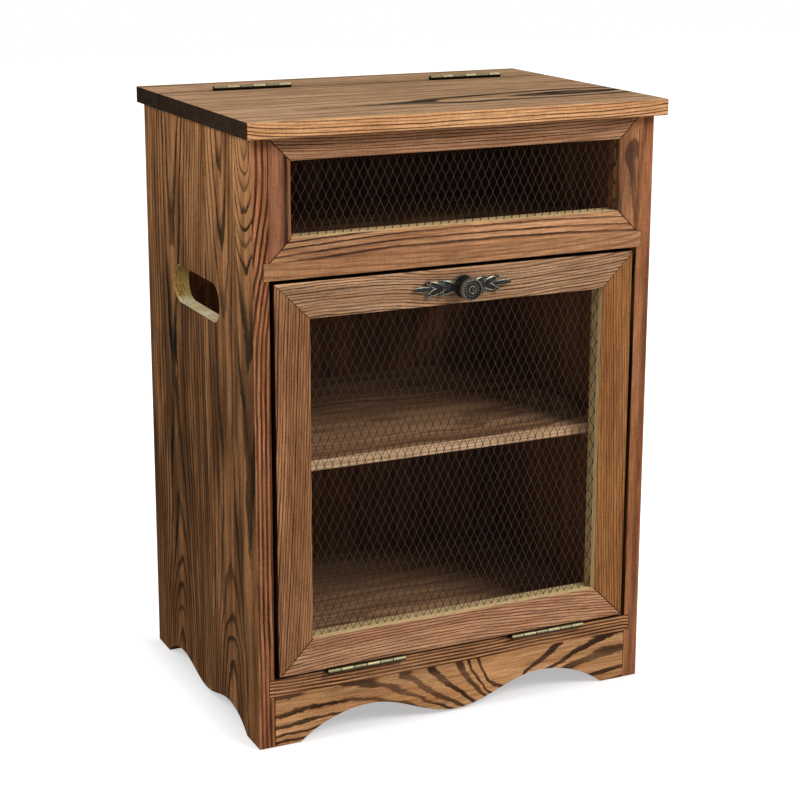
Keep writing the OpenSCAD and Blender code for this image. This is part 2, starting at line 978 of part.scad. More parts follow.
module back_panel_nails() {
    color(zinc)
        at_nails() {
            translate([0, 0, -nail_l])
                cylinder(r = nail_r, h = nail_l);
            translate([0, 0, -nail_head_t])
                cylinder(r = nail_head_r, h = nail_head_t);
        }
}

module strip_dowels() {
    color(raw_wood)
        at_strip_dowels()
            dowel();
}

module apron_dowels() {
    color(raw_wood)
        at_apron_dowels()
            dowel();
}

// ---- Door catch ----

// Magnet housing under the bin floor, with an ear for a screw at each end
module catch_housing() {
    color(plastic)
        difference() {
            at_catch() {
                translate([-catch_w / 2, 0, -catch_h])
                    cube([catch_w, catch_d, catch_h]);
                translate([-catch_ears_w / 2, 0, -catch_ear_t])
                    cube([catch_ears_w, catch_d, catch_ear_t]);
            }
            at_catch_screws()
                countersink(catch_ear_t);
        }
}

module catch_screws() {
    color(zinc)
        at_catch_screws()
            wood_screw(screw_l);
}

// Steel plate on the back of the door that the magnet holds
module strike_plate() {
    color(zinc)
        difference() {
            translate([catch_x - strike_w / 2, door_back_y, strike_z - strike_h / 2])
                cube([strike_w, strike_t, strike_h]);
            at_strike()
                countersink(strike_t);
        }
}

module strike_screw() {
    color(zinc)
        at_strike()
            wood_screw(screw_l);
}

left_side_panel();
right_side_panel();
back_panel();
top_strip();
lid();
bin_floor();
middle_shelf();
shelf_cleat(-1);  // left_shelf_cleat
shelf_cleat(1);  // right_shelf_cleat
bottom_shelf();
front_apron();
upper_frame_top_rail();
upper_frame_bottom_rail();
upper_frame_left_stile();
upper_frame_right_stile();
upper_net();
door_top_rail();
door_bottom_rail();
door_left_stile();
door_right_stile();
door_net();
knob();
knob_backplate();
knob_screw();
lid_hinge_strip_leaf(-1);  // lid_hinge_left_strip_leaf
lid_hinge_lid_leaf(-1);  // lid_hinge_left_lid_leaf
lid_hinge_pin(-1);  // lid_hinge_left_pin
lid_hinge_strip_leaf(1);  // lid_hinge_right_strip_leaf
lid_hinge_lid_leaf(1);  // lid_hinge_right_lid_leaf
lid_hinge_pin(1);  // lid_hinge_right_pin
door_hinge_shelf_leaf(-1);  // door_hinge_left_shelf_leaf
door_hinge_door_leaf(-1);  // door_hinge_left_door_leaf
door_hinge_pin(-1);  // door_hinge_left_pin
door_hinge_shelf_leaf(1);  // door_hinge_right_shelf_leaf
door_hinge_door_leaf(1);  // door_hinge_right_door_leaf
door_hinge_pin(1);  // door_hinge_right_pin
strip_leaf_screws();
lid_leaf_screws();
shelf_leaf_screws();
door_leaf_screws();
catch_housing();
catch_screws();
strike_plate();
strike_screw();
cleat_screws();
back_panel_nails();
strip_dowels();
apron_dowels();
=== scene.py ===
import bmesh
import bpy
from math import atan2, cos, exp, hypot, pi, radians, sin
from mathutils import Matrix, Vector


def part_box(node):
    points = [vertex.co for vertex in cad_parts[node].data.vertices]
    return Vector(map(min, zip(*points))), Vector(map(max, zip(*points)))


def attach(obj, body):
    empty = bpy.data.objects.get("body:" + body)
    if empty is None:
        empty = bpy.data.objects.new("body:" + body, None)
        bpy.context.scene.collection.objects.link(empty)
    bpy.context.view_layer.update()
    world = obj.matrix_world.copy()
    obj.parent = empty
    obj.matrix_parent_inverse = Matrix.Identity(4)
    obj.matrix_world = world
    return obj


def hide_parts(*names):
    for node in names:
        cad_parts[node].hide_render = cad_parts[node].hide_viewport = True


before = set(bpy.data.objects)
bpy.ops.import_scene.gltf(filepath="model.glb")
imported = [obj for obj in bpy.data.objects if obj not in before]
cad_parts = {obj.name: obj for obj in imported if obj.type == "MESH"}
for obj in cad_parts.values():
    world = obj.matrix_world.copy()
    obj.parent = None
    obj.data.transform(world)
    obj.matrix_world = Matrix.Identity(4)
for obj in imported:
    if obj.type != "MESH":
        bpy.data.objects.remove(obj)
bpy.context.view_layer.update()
mm = 0.001


# ---- Side panels ----
# Two upright boards of burnt and brushed pine, glued up from wide strips, with flame-shaped grain
# that darkens to charcoal. Their burnt patches carry painted shade as well: the faces stay light at
# the top and are darkest a little below the middle. Inside they are only browned, and the walls of
# the handle slot are bare, with painted shade over the slot's upper part and painted light on its
# floor.
# The corners are eased by hand, and the bottom edge is sawn in a scroll.

panel_eased = 0.7 * mm
panel_low, panel_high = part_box("left_side_panel")
x_left = panel_low.x
x_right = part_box("right_side_panel")[1].x
y_front = panel_low.y
y_back = panel_high.y
case_top = panel_high.z
burnt_to = y_front + 17.5 * mm
slot_low, slot_high = 360 * mm, 404 * mm
slot_y, slot_half = 16 * mm, 62.5 * mm


def tone(red, green, blue):
    """A colour from a paint chart, 0 to 255, as the shader's linear values"""
    linear = []
    for part in (red, green, blue):
        share = part / 255
        linear.append(share / 12.92 if part < 11 else ((share + 0.055) / 1.055) ** 2.4)
    return (*linear, 1.0)


def bare_material(name):
    """A new material with an empty node tree"""
    material = bpy.data.materials.new(name)
    material.use_nodes = True
    material.node_tree.nodes.clear()
    return material, material.node_tree


def maths(tree, operation, *values):
    """A sum, product or the like of values, each a socket or a number"""
    node = tree.nodes.new("ShaderNodeMath")
    node.operation = operation
    for socket, value in zip(node.inputs, values):
        if isinstance(value, bpy.types.NodeSocket):
            tree.links.new(value, socket)
        else:
            socket.default_value = value
    return node.outputs[0]


def between(tree, value, low, high, to_low=0.0, to_high=1.0):
    """A value's place between two limits, eased at both ends"""
    node = tree.nodes.new("ShaderNodeMapRange")
    node.interpolation_type = "SMOOTHSTEP"
    tree.links.new(value, node.inputs["Value"])
    for name, number in (("From Min", low), ("From Max", high), ("To Min", to_low), ("To Max", to_high)):
        node.inputs[name].default_value = number
    return node.outputs[0]


def blended(tree, share, first, second, how="MIX"):
    """Two colours blended; each is a socket or a colour"""
    node = tree.nodes.new("ShaderNodeMix")
    node.data_type = "RGBA"
    node.blend_type = how
    for socket, value in ((node.inputs[0], share), (node.inputs[6], first), (node.inputs[7], second)):
        if isinstance(value, bpy.types.NodeSocket):
            tree.links.new(value, socket)
        else:
            socket.default_value = value
    return node.outputs[2]


def cloud(tree, place, size, seed=0.0, detail=2.0):
    """Noise with blotches of size (u, v, w) millimetres"""
    mapping = tree.nodes.new("ShaderNodeMapping")
    tree.links.new(place, mapping.inputs["Vector"])
    mapping.inputs["Location"].default_value = (seed * 7.3, seed * 3.1, seed * 5.7)
    mapping.inputs["Scale"].default_value = [1 / s for s in size]
    node = tree.nodes.new("ShaderNodeTexNoise")
    node.inputs["Scale"].default_value = 1.0
    node.inputs["Detail"].default_value = detail
    tree.links.new(mapping.outputs[0], node.inputs["Vector"])
    return node


def through(tree, share, stops, straight=False):
    """A curve through (share, value) stops, smooth or with straight pieces. Where all the values
    are the same, it is that number."""
    low = min(value for _, value in stops)
    reach = max(value for _, value in stops) - low
    if reach == 0:
        return low
    node = tree.nodes.new("ShaderNodeFloatCurve")
    tree.links.new(share, node.inputs["Value"])
    points = node.mapping.curves[0].points
    points[0].location = (stops[0][0], (stops[0][1] - low) / reach)
    points[1].location = (stops[-1][0], (stops[-1][1] - low) / reach)
    for at, value in stops[1:-1]:
        points.new(at, (value - low) / reach)
    for point in points:
        point.handle_type = "VECTOR" if straight else "AUTO"
    node.mapping.update()
    return maths(tree, "MULTIPLY_ADD", node.outputs[0], reach, low)


def with_relief(tree, shader, height, strength, distance):
    """Gives the shader its small bumps, and the material its output"""
    relief = tree.nodes.new("ShaderNodeBump")
    relief.inputs["Strength"].default_value = strength
    relief.inputs["Distance"].default_value = distance
    tree.links.new(height, relief.inputs["Height"])
    tree.links.new(relief.outputs[0], shader.inputs["Normal"])
    output = tree.nodes.new("ShaderNodeOutputMaterial")
    tree.links.new(shader.outputs[0], output.inputs[0])


def grain_lines(tree, u, v, share, pith, gap, uneven, seed, fade):
    """Dark late wood of the growth rings round a pith that runs behind the board's face. pith holds
    stops of (share of the length, place across, rings down to the pith). gap is the rings' width,
    or a list of (radius, width of the late wood), and then the pith's depths are lengths too. All
    lengths are in millimetres. uneven, in years, makes the rings' widths differ, and the lines
    fade from one radius to another, to a last strength, as fade says."""
    step = 1.0 if isinstance(gap, list) else gap
    across = maths(tree, "SUBTRACT", u, through(tree, share, [(s, a) for s, a, _ in pith]))
    deep = maths(tree, "SUBTRACT", v, through(tree, share, [(s, rings * step) for s, _, rings in pith]))
    radius = maths(tree, "SQRT", maths(tree, "ADD", maths(tree, "MULTIPLY", across, across),
                                       maths(tree, "MULTIPLY", deep, deep)))
    if isinstance(gap, list):
        outer = gap[-1][0]
        stops = [(0.0, 0.12)]
        for year, (ring, wide) in enumerate(gap):
            stops += [((ring - wide - 0.7) / outer, year + 0.4), ((ring - wide) / outer, year + 0.76),
                      (ring / outer, year + 0.92)]
        years = through(tree, maths(tree, "DIVIDE", radius, outer), stops, straight=True)
    else:
        years = maths(tree, "DIVIDE", radius, gap)
    wobble = tree.nodes.new("ShaderNodeTexNoise")
    wobble.noise_dimensions = "1D"
    wobble.inputs["Scale"].default_value = 0.45
    wobble.inputs["Detail"].default_value = 1.0
    tree.links.new(maths(tree, "ADD", years, seed * 11.0), wobble.inputs["W"])
    shift = maths(tree, "MULTIPLY_ADD", wobble.outputs["Fac"], uneven, -uneven / 2)
    years = maths(tree, "ADD", years, shift)
    year = tree.nodes.new("ShaderNodeTexWhiteNoise")
    year.noise_dimensions = "1D"
    tree.links.new(maths(tree, "ADD", maths(tree, "FLOOR", years), seed + 0.5), year.inputs["W"])
    luck = tree.nodes.new("ShaderNodeSeparateColor")
    tree.links.new(year.outputs["Color"], luck.inputs[0])
    part = maths(tree, "FRACT", years)
    rise = between(tree, part, 0.42, 0.8)
    fall = between(tree, part, 0.94, 1.0, 1.0, 0.0)
    spread, faint = (0.0, 0.9) if isinstance(gap, list) else (3.2, 0.6)
    line = maths(tree, "POWER", rise, maths(tree, "MULTIPLY_ADD", luck.outputs[0], spread, 0.6))
    line = maths(tree, "MULTIPLY", line, fall)
    line = maths(tree, "MULTIPLY", line, between(tree, radius, fade[0], fade[1], 1.0, fade[2]))
    return maths(tree, "MULTIPLY", line, maths(tree, "MULTIPLY_ADD", luck.outputs[1], 1 - faint, faint))


def burnt_pine(name, along, across, into, strips, gap, wood, streak, line, depth=0.95,
               sway=(3.0, 0.7, 0.3), uneven=1.2, smudge_and_shade=0.25, end=(34, 24, 20), seed=0.0, rough=0.62,
               fade=(800, 900, 1.0)):
    """Pine with its grain along one axis. along is (axis, low, high), across is an axis, and into is
    (axis, place of the face, side), where side is 1 when the wood lies above that place. strips are
    (start across, pith), one for each board of a glued-up panel. wood and streak are the pale tints,
    line and depth the colour and strength of the late wood, sway how far it wavers, and end the
    colour of sawn ends. smudge_and_shade is how dark the burnt patches are, a number or stops along
    the board; as stops it also paints shade, on the side panels and the slot's walls."""
    material, tree = bare_material(name)
    coordinates = tree.nodes.new("ShaderNodeTexCoord")
    split = tree.nodes.new("ShaderNodeSeparateXYZ")
    tree.links.new(coordinates.outputs["Object"], split.inputs[0])
    into_axis, face, side = into
    low, high = along[1], along[2]
    u = maths(tree, "MULTIPLY", split.outputs[across], 1000.0)
    v = maths(tree, "MULTIPLY_ADD", split.outputs[into_axis], 1000.0 * side, -1000.0 * side * face)
    w = maths(tree, "MULTIPLY", split.outputs[along[0]], 1000.0)
    share = maths(tree, "MULTIPLY_ADD", split.outputs[along[0]], 1 / (high - low), -low / (high - low))
    join = tree.nodes.new("ShaderNodeCombineXYZ")
    for socket, value in zip(join.inputs, (u, v, w)):
        tree.links.new(value, socket)
    place = join.outputs[0]

    # the trunk is never quite straight: slow waves first, then ripples, then ragged edges
    swayed = [u, v]
    for reach, size, shift in zip(sway, ((42, 42, 150), (9, 9, 34), (2.2, 2.2, 6)), (1.3, 4.1, 7.7)):
        waves = tree.nodes.new("ShaderNodeSeparateColor")
        tree.links.new(cloud(tree, place, size, seed + shift, 1.0).outputs["Color"], waves.inputs[0])
        swayed = [maths(tree, "ADD", value, maths(tree, "MULTIPLY_ADD", wave, 2 * reach, -reach))
                  for value, wave in zip(swayed, waves.outputs)]
    dark = grain_lines(tree, *swayed, share, strips[0][1], gap, uneven, seed, fade)
    for start, pith in strips[1:]:
        other = grain_lines(tree, *swayed, share, pith, gap, uneven, seed + start, fade)
        here = maths(tree, "GREATER_THAN", u, start)
        dark = maths(tree, "ADD", maths(tree, "MULTIPLY", dark, maths(tree, "SUBTRACT", 1.0, here)),
                     maths(tree, "MULTIPLY", other, here))
    strength = between(tree, cloud(tree, place, (26, 26, 80), seed + 9.0).outputs["Fac"], 0.3, 0.6,
                       0.7 * depth, depth)
    dark = maths(tree, "MULTIPLY", dark, strength)

    # colour: broad tints, burnt patches, fine fibres, then the late wood
    fibres = cloud(tree, place, (1.0, 1.0, 24), seed + 2.0, 3.0).outputs["Fac"]
    tints = cloud(tree, place, (12, 12, 140), seed + 6.0, 2.0).outputs["Fac"]
    patches = cloud(tree, place, (16, 16, 150), seed + 12.0, 2.0).outputs["Fac"]
    colour = blended(tree, between(tree, tints, 0.32, 0.68), tone(*wood), tone(*streak))
    # as stops they darken the colour by height and paint shade: with the burnt patches on the side panels,
    # and alone on the slot's walls
    if isinstance(smudge_and_shade, list):
        burn_and_shade = between(tree, patches, 0.36, 0.62, 0.25, 1.0)
        burn_and_shade = maths(tree, "MULTIPLY", burn_and_shade, through(tree, share, smudge_and_shade))
        colour = blended(tree, burn_and_shade, colour, blended(tree, 0.6, tone(*streak), tone(*line)))
    else:
        burn_and_shade = maths(tree, "MULTIPLY", between(tree, patches, 0.42, 0.68), smudge_and_shade)
        colour = blended(tree, burn_and_shade, colour, tone(*line))
    scratches = cloud(tree, place, (5, 5, 1.3), seed + 15.0, 1.0).outputs["Fac"]
    fibre_shade = maths(tree, "MULTIPLY", between(tree, fibres, 0.3, 0.7, 0.7, 1.24),
                        between(tree, scratches, 0.3, 0.7, 0.92, 1.08))
    shade = tree.nodes.new("ShaderNodeCombineColor")
    for socket in shade.inputs[:3]:
        tree.links.new(fibre_shade, socket)
    colour = blended(tree, 1.0, colour, shade.outputs[0], "MULTIPLY")

    # sawn ends drink in the burn and turn almost black, and only faint rings show there
    facing = tree.nodes.new("ShaderNodeSeparateXYZ")
    tree.links.new(coordinates.outputs["Normal"], facing.inputs[0])
    sawn = between(tree, maths(tree, "ABSOLUTE", facing.outputs[along[0]]), 0.75, 0.92, 0.0, 0.95)
    colour = blended(tree, sawn, colour, tone(*end))
    colour = blended(tree, dark, colour, tone(*line))

    shader = tree.nodes.new("ShaderNodeBsdfPrincipled")
    shader.inputs["Specular IOR Level"].default_value = 0.0
    tree.links.new(colour, shader.inputs["Base Color"])
    shader.inputs["Roughness"].default_value = rough
    ridges = maths(tree, "MULTIPLY_ADD", fibres, 0.5, maths(tree, "MULTIPLY", dark, 0.6))
    with_relief(tree, shader, maths(tree, "MULTIPLY_ADD", scratches, 0.25, ridges), 0.6, 0.3 * mm)
    return material


def as_object(form, name):
    """Turns a bmesh into an object of the scene"""
    mesh = bpy.data.meshes.new(name)
    form.to_mesh(mesh)
    form.free()
    made = bpy.data.objects.new(name, mesh)
    bpy.context.scene.collection.objects.link(made)
    return made


def cut_across(form, place, normal, beyond=False):
    """Cuts every face of a bmesh at a plane, and takes off what lies beyond it if told to"""
    bmesh.ops.bisect_plane(form, geom=list(form.verts) + list(form.edges) + list(form.faces), dist=1e-7,
                           plane_co=place, plane_no=normal, clear_outer=beyond)


def merged_copy(node):
    """A bmesh of the plain piece, with its loose triangles joined into whole faces"""
    form = bmesh.new()
    form.from_mesh(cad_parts[node].data)
    bmesh.ops.remove_doubles(form, verts=form.verts, dist=1e-6)
    bmesh.ops.dissolve_limit(form, angle_limit=radians(0.5), verts=form.verts, edges=form.edges)
    return form


def eased(form, edges, radius):
    """Rounds these edges of a bmesh"""
    bmesh.ops.bevel(form, geom=edges, offset=radius, offset_type="OFFSET", segments=2, profile=0.5,
                    affect="EDGES", material=-1, clamp_overlap=True)


def board_copy(node, radius, *planes, cut=None):
    """The board as a new object, with the edges that lie in these (axis, place) planes eased. Its
    faces are cut in two at the place cut along Y, so that they can change their finish there."""
    board = merged_copy(node)
    corners = [
        edge for edge in board.edges
        if edge.is_manifold and edge.calc_face_angle(0) > radians(30)
        and any(all(abs(vertex.co[axis] - place) < 1e-5 for vertex in edge.verts) for axis, place in planes)
    ]
    eased(board, corners, radius)
    if cut is not None:
        cut_across(board, (0, cut, 0), (0, 1, 0))
    made = as_object(board, node + "_eased")
    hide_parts(node)
    return made


def finish_board(board, node, body, slot, *finishes):
    """Gives each face the last finish whose test, a function of its middle and normal, it passes"""
    for material, _ in finishes:
        board.data.materials.append(material)
    for face in board.data.polygons:
        for index, (_, test) in enumerate(finishes):
            if test is None or test(face.center, face.normal):
                face.material_index = index
    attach(board, body)


raw_pine = burnt_pine(
    "raw_pine", (2, 0.0, 0.54), 0, (1, 0.0, 1), [(0, [(0, -160, 12.7), (1, -150, 14.5)])], 5.5,
    (232, 202, 148), (214, 182, 126), (166, 130, 84),
    depth=0.5, sway=(9.0, 1.2, 0.3), uneven=2.0, smudge_and_shade=0.1, end=(216, 188, 138), seed=3.0)
inside_pine = burnt_pine(
    "inside_pine", (2, 0.0, 0.54), 1, (0, 0.0, 1), [(-300, [(0, 150, 22), (1, 156, 24)])], 5.5,
    (170, 120, 78), (148, 102, 66), (84, 54, 36),
    depth=0.7, sway=(9.0, 1.2, 0.3), uneven=2.0, smudge_and_shade=0.2, end=(170, 130, 84), seed=3.5)
# painted shade: the slot's walls darken from a little above the slot's bottom to full strength near its top
slot_top_shade = [(0.0, 0.0), (0.676, 0.05), (0.69, 0.5), (0.738, 1.0), (1.0, 1.0)]
sawn_slot = burnt_pine(
    "sawn_slot", (2, 0.0, 0.54), 1, (0, 0.0, 1), [(0, [(0, 120, 7.0), (1, 130, 8.0)])], 2.0,
    (216, 188, 122), (176, 140, 76), (66, 46, 16),
    depth=0.9, sway=(3.0, 1.0, 0.3), uneven=2.0, smudge_and_shade=slot_top_shade, end=(236, 220, 170), seed=5.0,
    rough=0.8)
# painted light: the slot's upward facing floor is near-white, much paler than the same bare wood on the
# slot's other walls
lit_slot_floor = burnt_pine(
    "sawn_slot_floor_lit", (0, -0.2, 0.2), 1, (2, slot_low, 1), [(-300, [(0, -200, 9), (1, -200, 9)])], 3.6,
    (255, 246, 206), (255, 234, 180), (96, 70, 30),
    depth=0.9, sway=(2.4, 1.2, 0.6), uneven=0.6, smudge_and_shade=0.0, seed=6.0)

# (share of the height, place of the heart, rings down to it): the flames' tips lie at whole rings
rear_flame = [(0.0, 76, 2.2), (0.071, 76, 3), (0.112, 76, 4), (0.158, 75, 5), (0.216, 74, 6),
              (0.342, 76, 7), (0.56, 79, 7.85), (0.79, 78, 7), (0.968, 72, 6), (1.0, 71, 5.8)]
middle_flame = [(0.0, -58, 2.6), (0.126, -62, 4), (0.163, -62, 5), (0.21, -62, 6), (0.40, -60, 7.3),
                (0.64, -55, 7), (0.80, -52, 6), (1.0, -50, 4.6)]
front_flame = [(0.0, -118, 10.6), (0.372, -114, 9.8), (0.627, -112, 9), (0.74, -111, 8.4), (0.786, -111, 8),
               (0.827, -110, 7), (0.853, -110, 6), (0.877, -110, 5), (0.911, -110, 4), (0.937, -110, 3),
               (0.96, -110, 2), (1.0, -108, 0.9)]
# burnt patches along the panel's height, with painted shade: lightest at the top, darkest a little below the
# middle, and fairly dark near the bottom
panel_scorch_and_shade = [(0.0, 0.55), (0.2, 0.68), (0.45, 0.97), (0.68, 0.72), (0.84, 0.18), (1.0, 0.06)]

# the left panel's front edge: (share of the height, how far its pith has moved to the left)
edge_drift = [(0.0, 22), (0.3, 23), (0.5, 23), (0.66, 22), (0.72, 19), (0.766, 15), (0.8, 10.5), (0.86, 5),
              (0.9, 1.5), (0.94, 0), (1.0, 0)]
edge_rings = [(24.3, 1.0), (28.0, 1.1), (31.5, 1.2), (35.2, 1.1), (39.0, 1.3), (43.2, 1.4), (48.0, 1.6),
              (53.2, 1.6), (58.4, 1.6), (64.0, 1.6)]


def in_slot(middle, normal):
    """Whether a face is part of the handle slot's walls"""
    inside = slot_low < middle.z < slot_high and abs(middle.y - slot_y) < slot_half
    return inside and abs(normal.x) < 0.3


for panel, face_x, side, seed in (
    ("left_side_panel", x_left, 1, 0.0),
    ("right_side_panel", x_right, -1, 21.0),
):
    panel_face = burnt_pine(
        panel + "_face", (2, 0.0, case_top), 1, (0, face_x, side),
        [(-200, front_flame), (-88, middle_flame), (-12, rear_flame)], 5.5,
        (187, 134, 89), (135, 90, 56), (30, 30, 25),
        depth=1.0, sway=(3.5, 1.2, 0.4), uneven=0.3, smudge_and_shade=panel_scorch_and_shade, seed=seed)
    heart = 1000 * (face_x + side * 0.06)
    if side > 0:
        edge_pith = [(share, heart - drift, 15) for share, drift in edge_drift]
        edge_look = {"gap": edge_rings, "depth": 0.95, "uneven": 0.15}
    else:
        edge_pith = [(0.0, heart, 4.0), (0.45, heart - 1, 3.4), (0.8, heart + 3, 3.4), (1.0, heart + 7, 3.0)]
        edge_look = {"gap": 12.0, "depth": 0.6, "uneven": 0.8}
    panel_edge = burnt_pine(
        panel + "_front_edge", (2, 0.0, case_top), 0, (1, y_front, 1), [(-300, edge_pith)],
        wood=(182, 122, 84), streak=(154, 98, 63), line=(54, 27, 18),
        sway=(1.4, 0.5, 0.3), smudge_and_shade=0.15, seed=seed + 2.0, **edge_look)
    made = board_copy(panel, panel_eased, (0, face_x), (1, y_front), (1, y_back), cut=burnt_to)
    finish_board(
        made, panel, "cabinet", "side_wood",
        (panel_face, None),
        (inside_pine, lambda middle, normal: side * normal.x > 0.5 and middle.y > burnt_to),
        (panel_edge, lambda middle, normal: normal.y < -0.6 and middle.y < y_front + mm),
        (sawn_slot, in_slot),
        (lit_slot_floor, lambda middle, normal: in_slot(middle, normal) and normal.z > 0.95),
    )


# ---- Back panel ----
# A thin board of three pine strips, let into rebates of the side panels and nailed there. Its back
# is burnt and brushed like the sides, and its inside is only browned.

back_strips = [(-300, [(0.0, -130, 4), (0.4, -126, 8), (1.0, -122, 6)]),
               (-62, [(0.0, 0, 7), (0.5, 4, 6), (1.0, 6, 9)]),
               (62, [(0.0, 118, 6), (0.6, 122, 8), (1.0, 128, 4)])]
back_face = burnt_pine(
    "back_panel_face", (2, 0.04, case_top), 0, (1, y_back, -1), back_strips, 5.0,
    (168, 120, 74), (136, 92, 56), (40, 32, 26),
    depth=0.9, sway=(4.0, 1.0, 0.4), uneven=0.8, smudge_and_shade=0.4, seed=31.0)
back_inside = burnt_pine(
    "back_panel_inside", (2, 0.04, case_top), 0, (1, 0.145, 1),
    [(-300, [(0, -160, 16), (1, -150, 18)])], 5.5, (148, 102, 70), (128, 86, 58), (76, 50, 34),
    depth=0.7, sway=(9.0, 1.2, 0.3), uneven=2.0, smudge_and_shade=0.2, seed=32.0)
made = board_copy("back_panel", 0.4 * mm, (1, y_back))
finish_board(made, "back_panel", "cabinet", "raw_wood",
             (back_inside, None), (back_face, lambda middle, normal: normal.y > 0.5))


# ---- Boards of the case ----
# Bin floor, bottom shelf, middle shelf and its two cleats: planed boards that are only browned. The
# front edges of the bin floor and the bottom shelf show between the frames, so they are burnt too.

shelf_pine = burnt_pine(
    "shelf_pine", (0, -0.18, 0.18), 1, (2, 0.0, 1),
    [(-300, [(0, -30, 7), (0.5, -20, 8.5), (1, -34, 6)])], 4.6,
    (180, 140, 104), (158, 118, 86), (98, 64, 44),
    depth=0.75, sway=(8.0, 1.2, 0.4), uneven=2.0, smudge_and_shade=0.2, end=(190, 150, 112), seed=8.0)
shelf_front = burnt_pine(
    "middle_shelf_front", (0, -0.18, 0.18), 2, (1, -0.104, 1),
    [(-300, [(0, 300, 8), (0.5, 296, 9), (1, 302, 8)])], 2.6,
    (226, 190, 152), (206, 166, 126), (150, 106, 76),
    depth=0.7, sway=(2.0, 0.6, 0.2), uneven=1.2, smudge_and_shade=0.1, seed=8.5)
floor_edge = burnt_pine(
    "bin_floor_edge", (0, -0.18, 0.18), 2, (1, y_front, 1),
    [(-300, [(0, 330, 2.2), (0.5, 326, 3), (1, 334, 2)])], 5.5,
    (186, 136, 96), (168, 118, 80), (84, 50, 34),
    depth=0.5, sway=(3.0, 0.5, 0.2), uneven=1.2, smudge_and_shade=0.2, seed=9.0)
shelf_rings = [(46.4, 1.0), (49.5, 1.0), (52.6, 1.3), (55.8, 1.1), (59.2, 1.5), (62.4, 1.1), (66.0, 1.2)]
shelf_edge = burnt_pine(
    "bottom_shelf_edge", (0, -0.18, 0.18), 2, (1, y_front, 1),
    [(-300, [(0, 112, 4), (0.5, 110, 4), (0.8, 112, 4), (1, 111, 4)])], shelf_rings,
    (200, 146, 102), (180, 124, 84), (58, 34, 23),
    depth=0.97, sway=(2.4, 0.5, 0.25), uneven=0.1, smudge_and_shade=0.12, seed=10.0)
for board, edge_finish in (("bin_floor", floor_edge), ("bottom_shelf", shelf_edge)):
    made = board_copy(board, 0.4 * mm, (1, y_front), cut=burnt_to)
    finish_board(made, board, "cabinet", "front_wood", (shelf_pine, None),
                 (edge_finish, lambda middle, normal: middle.y < burnt_to))
for board in ("middle_shelf", "left_shelf_cleat", "right_shelf_cleat"):
    low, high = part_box(board)
    made = board_copy(board, 0.5 * mm, (1, low.y), (2, high.z))
    finish_board(made, board, "cabinet", "raw_wood", (shelf_pine, None),
                 (shelf_front, lambda middle, normal: normal.y < -0.5))


# ---- Apron ----
# The board between the front feet, sawn to two arches and a middle drop and dowelled to the bottom
# shelf. Bold late wood runs in big waves across its face, and its back is bare.

apron_rings = [(50.2, 2.5), (57.6, 1.5), (63.8, 2.5), (74.2, 2.1), (81.3, 1.7), (86.0, 1.1), (90.5, 0.9),
               (94.4, 0.8), (97.6, 0.7), (101.0, 0.7), (105.0, 0.7)]
apron_pith = [(0.0, 57.5, 85.0), (0.257, 57.5, 84.7), (0.355, 57.5, 80.0), (0.42, 57.5, 73.5),
              (0.485, 57.5, 65.9), (0.56, 57.5, 49.0), (0.62, 57.5, 27.0), (0.66, 57.5, 22.0),
              (0.70, 57.5, 35.0), (0.75, 57.5, 43.0), (0.81, 57.5, 49.0), (0.86, 57.5, 53.0),
              (1.0, 57.5, 56.8)]
apron_face = burnt_pine(
    "apron_face", (0, -0.178, 0.178), 2, (1, y_front, 1), [(-300, apron_pith)], apron_rings,
    (210, 158, 110), (182, 128, 82), (58, 38, 30),
    depth=1.0, sway=(1.6, 1.4, 0.6), uneven=0.15, smudge_and_shade=0.25, seed=14.0)
made = board_copy("front_apron", 0.5 * mm, (1, y_front))
finish_board(made, "front_apron", "cabinet", "front_wood", (apron_face, None),
             (raw_pine, lambda middle, normal: normal.y > 0.5))


# ---- Top strip and lid ----
# Two pine boards with long grain: a few bold dark lines that end in pointed patches. The strip is
# fixed with dowels, and the lid hangs on it. The lid's front edge is lighter, and the faces of the
# joint and the sawn ends are almost black.

joint_y = 83 * mm
charred_tints = [(74, 50, 36), (58, 38, 28), (26, 18, 14)]
charred_strips = [(-900, [(0, -300, 9), (1, -310, 9)])]
joint_face = burnt_pine(
    "charred_joint", (0, -0.2, 0.2), 2, (1, joint_y, 1), charred_strips, 4.0, *charred_tints,
    depth=0.9, seed=16.0)
lid_rings = [(26.4, 2.9), (35.5, 4.2), (47.0, 1.6), (60.0, 1.2), (75.0, 1.7), (88.0, 1.2), (104.0, 1.8),
             (118.0, 1.2), (134.0, 1.7), (150.0, 1.4), (168.0, 1.5)]
lid_pith = [(0.0, -80, 36.6), (0.20, -79, 36.4), (0.40, -74, 35.6), (0.445, -73, 34.8), (0.47, -72, 33.4),
            (0.50, -71, 31.9), (0.52, -70, 30.7), (0.56, -69, 29.0), (0.64, -65, 27.6), (0.70, -63, 26.7),
            (0.735, -62, 26.1), (0.78, -61, 25.0), (0.86, -58, 23.8), (0.94, -57, 25.3), (1.0, -56, 26.6)]
strip_pith = [(0.0, 112, 38.0), (0.3, 118, 39.5), (0.45, 116, 38.5), (0.6, 118, 39.5), (1.0, 122, 37.5)]
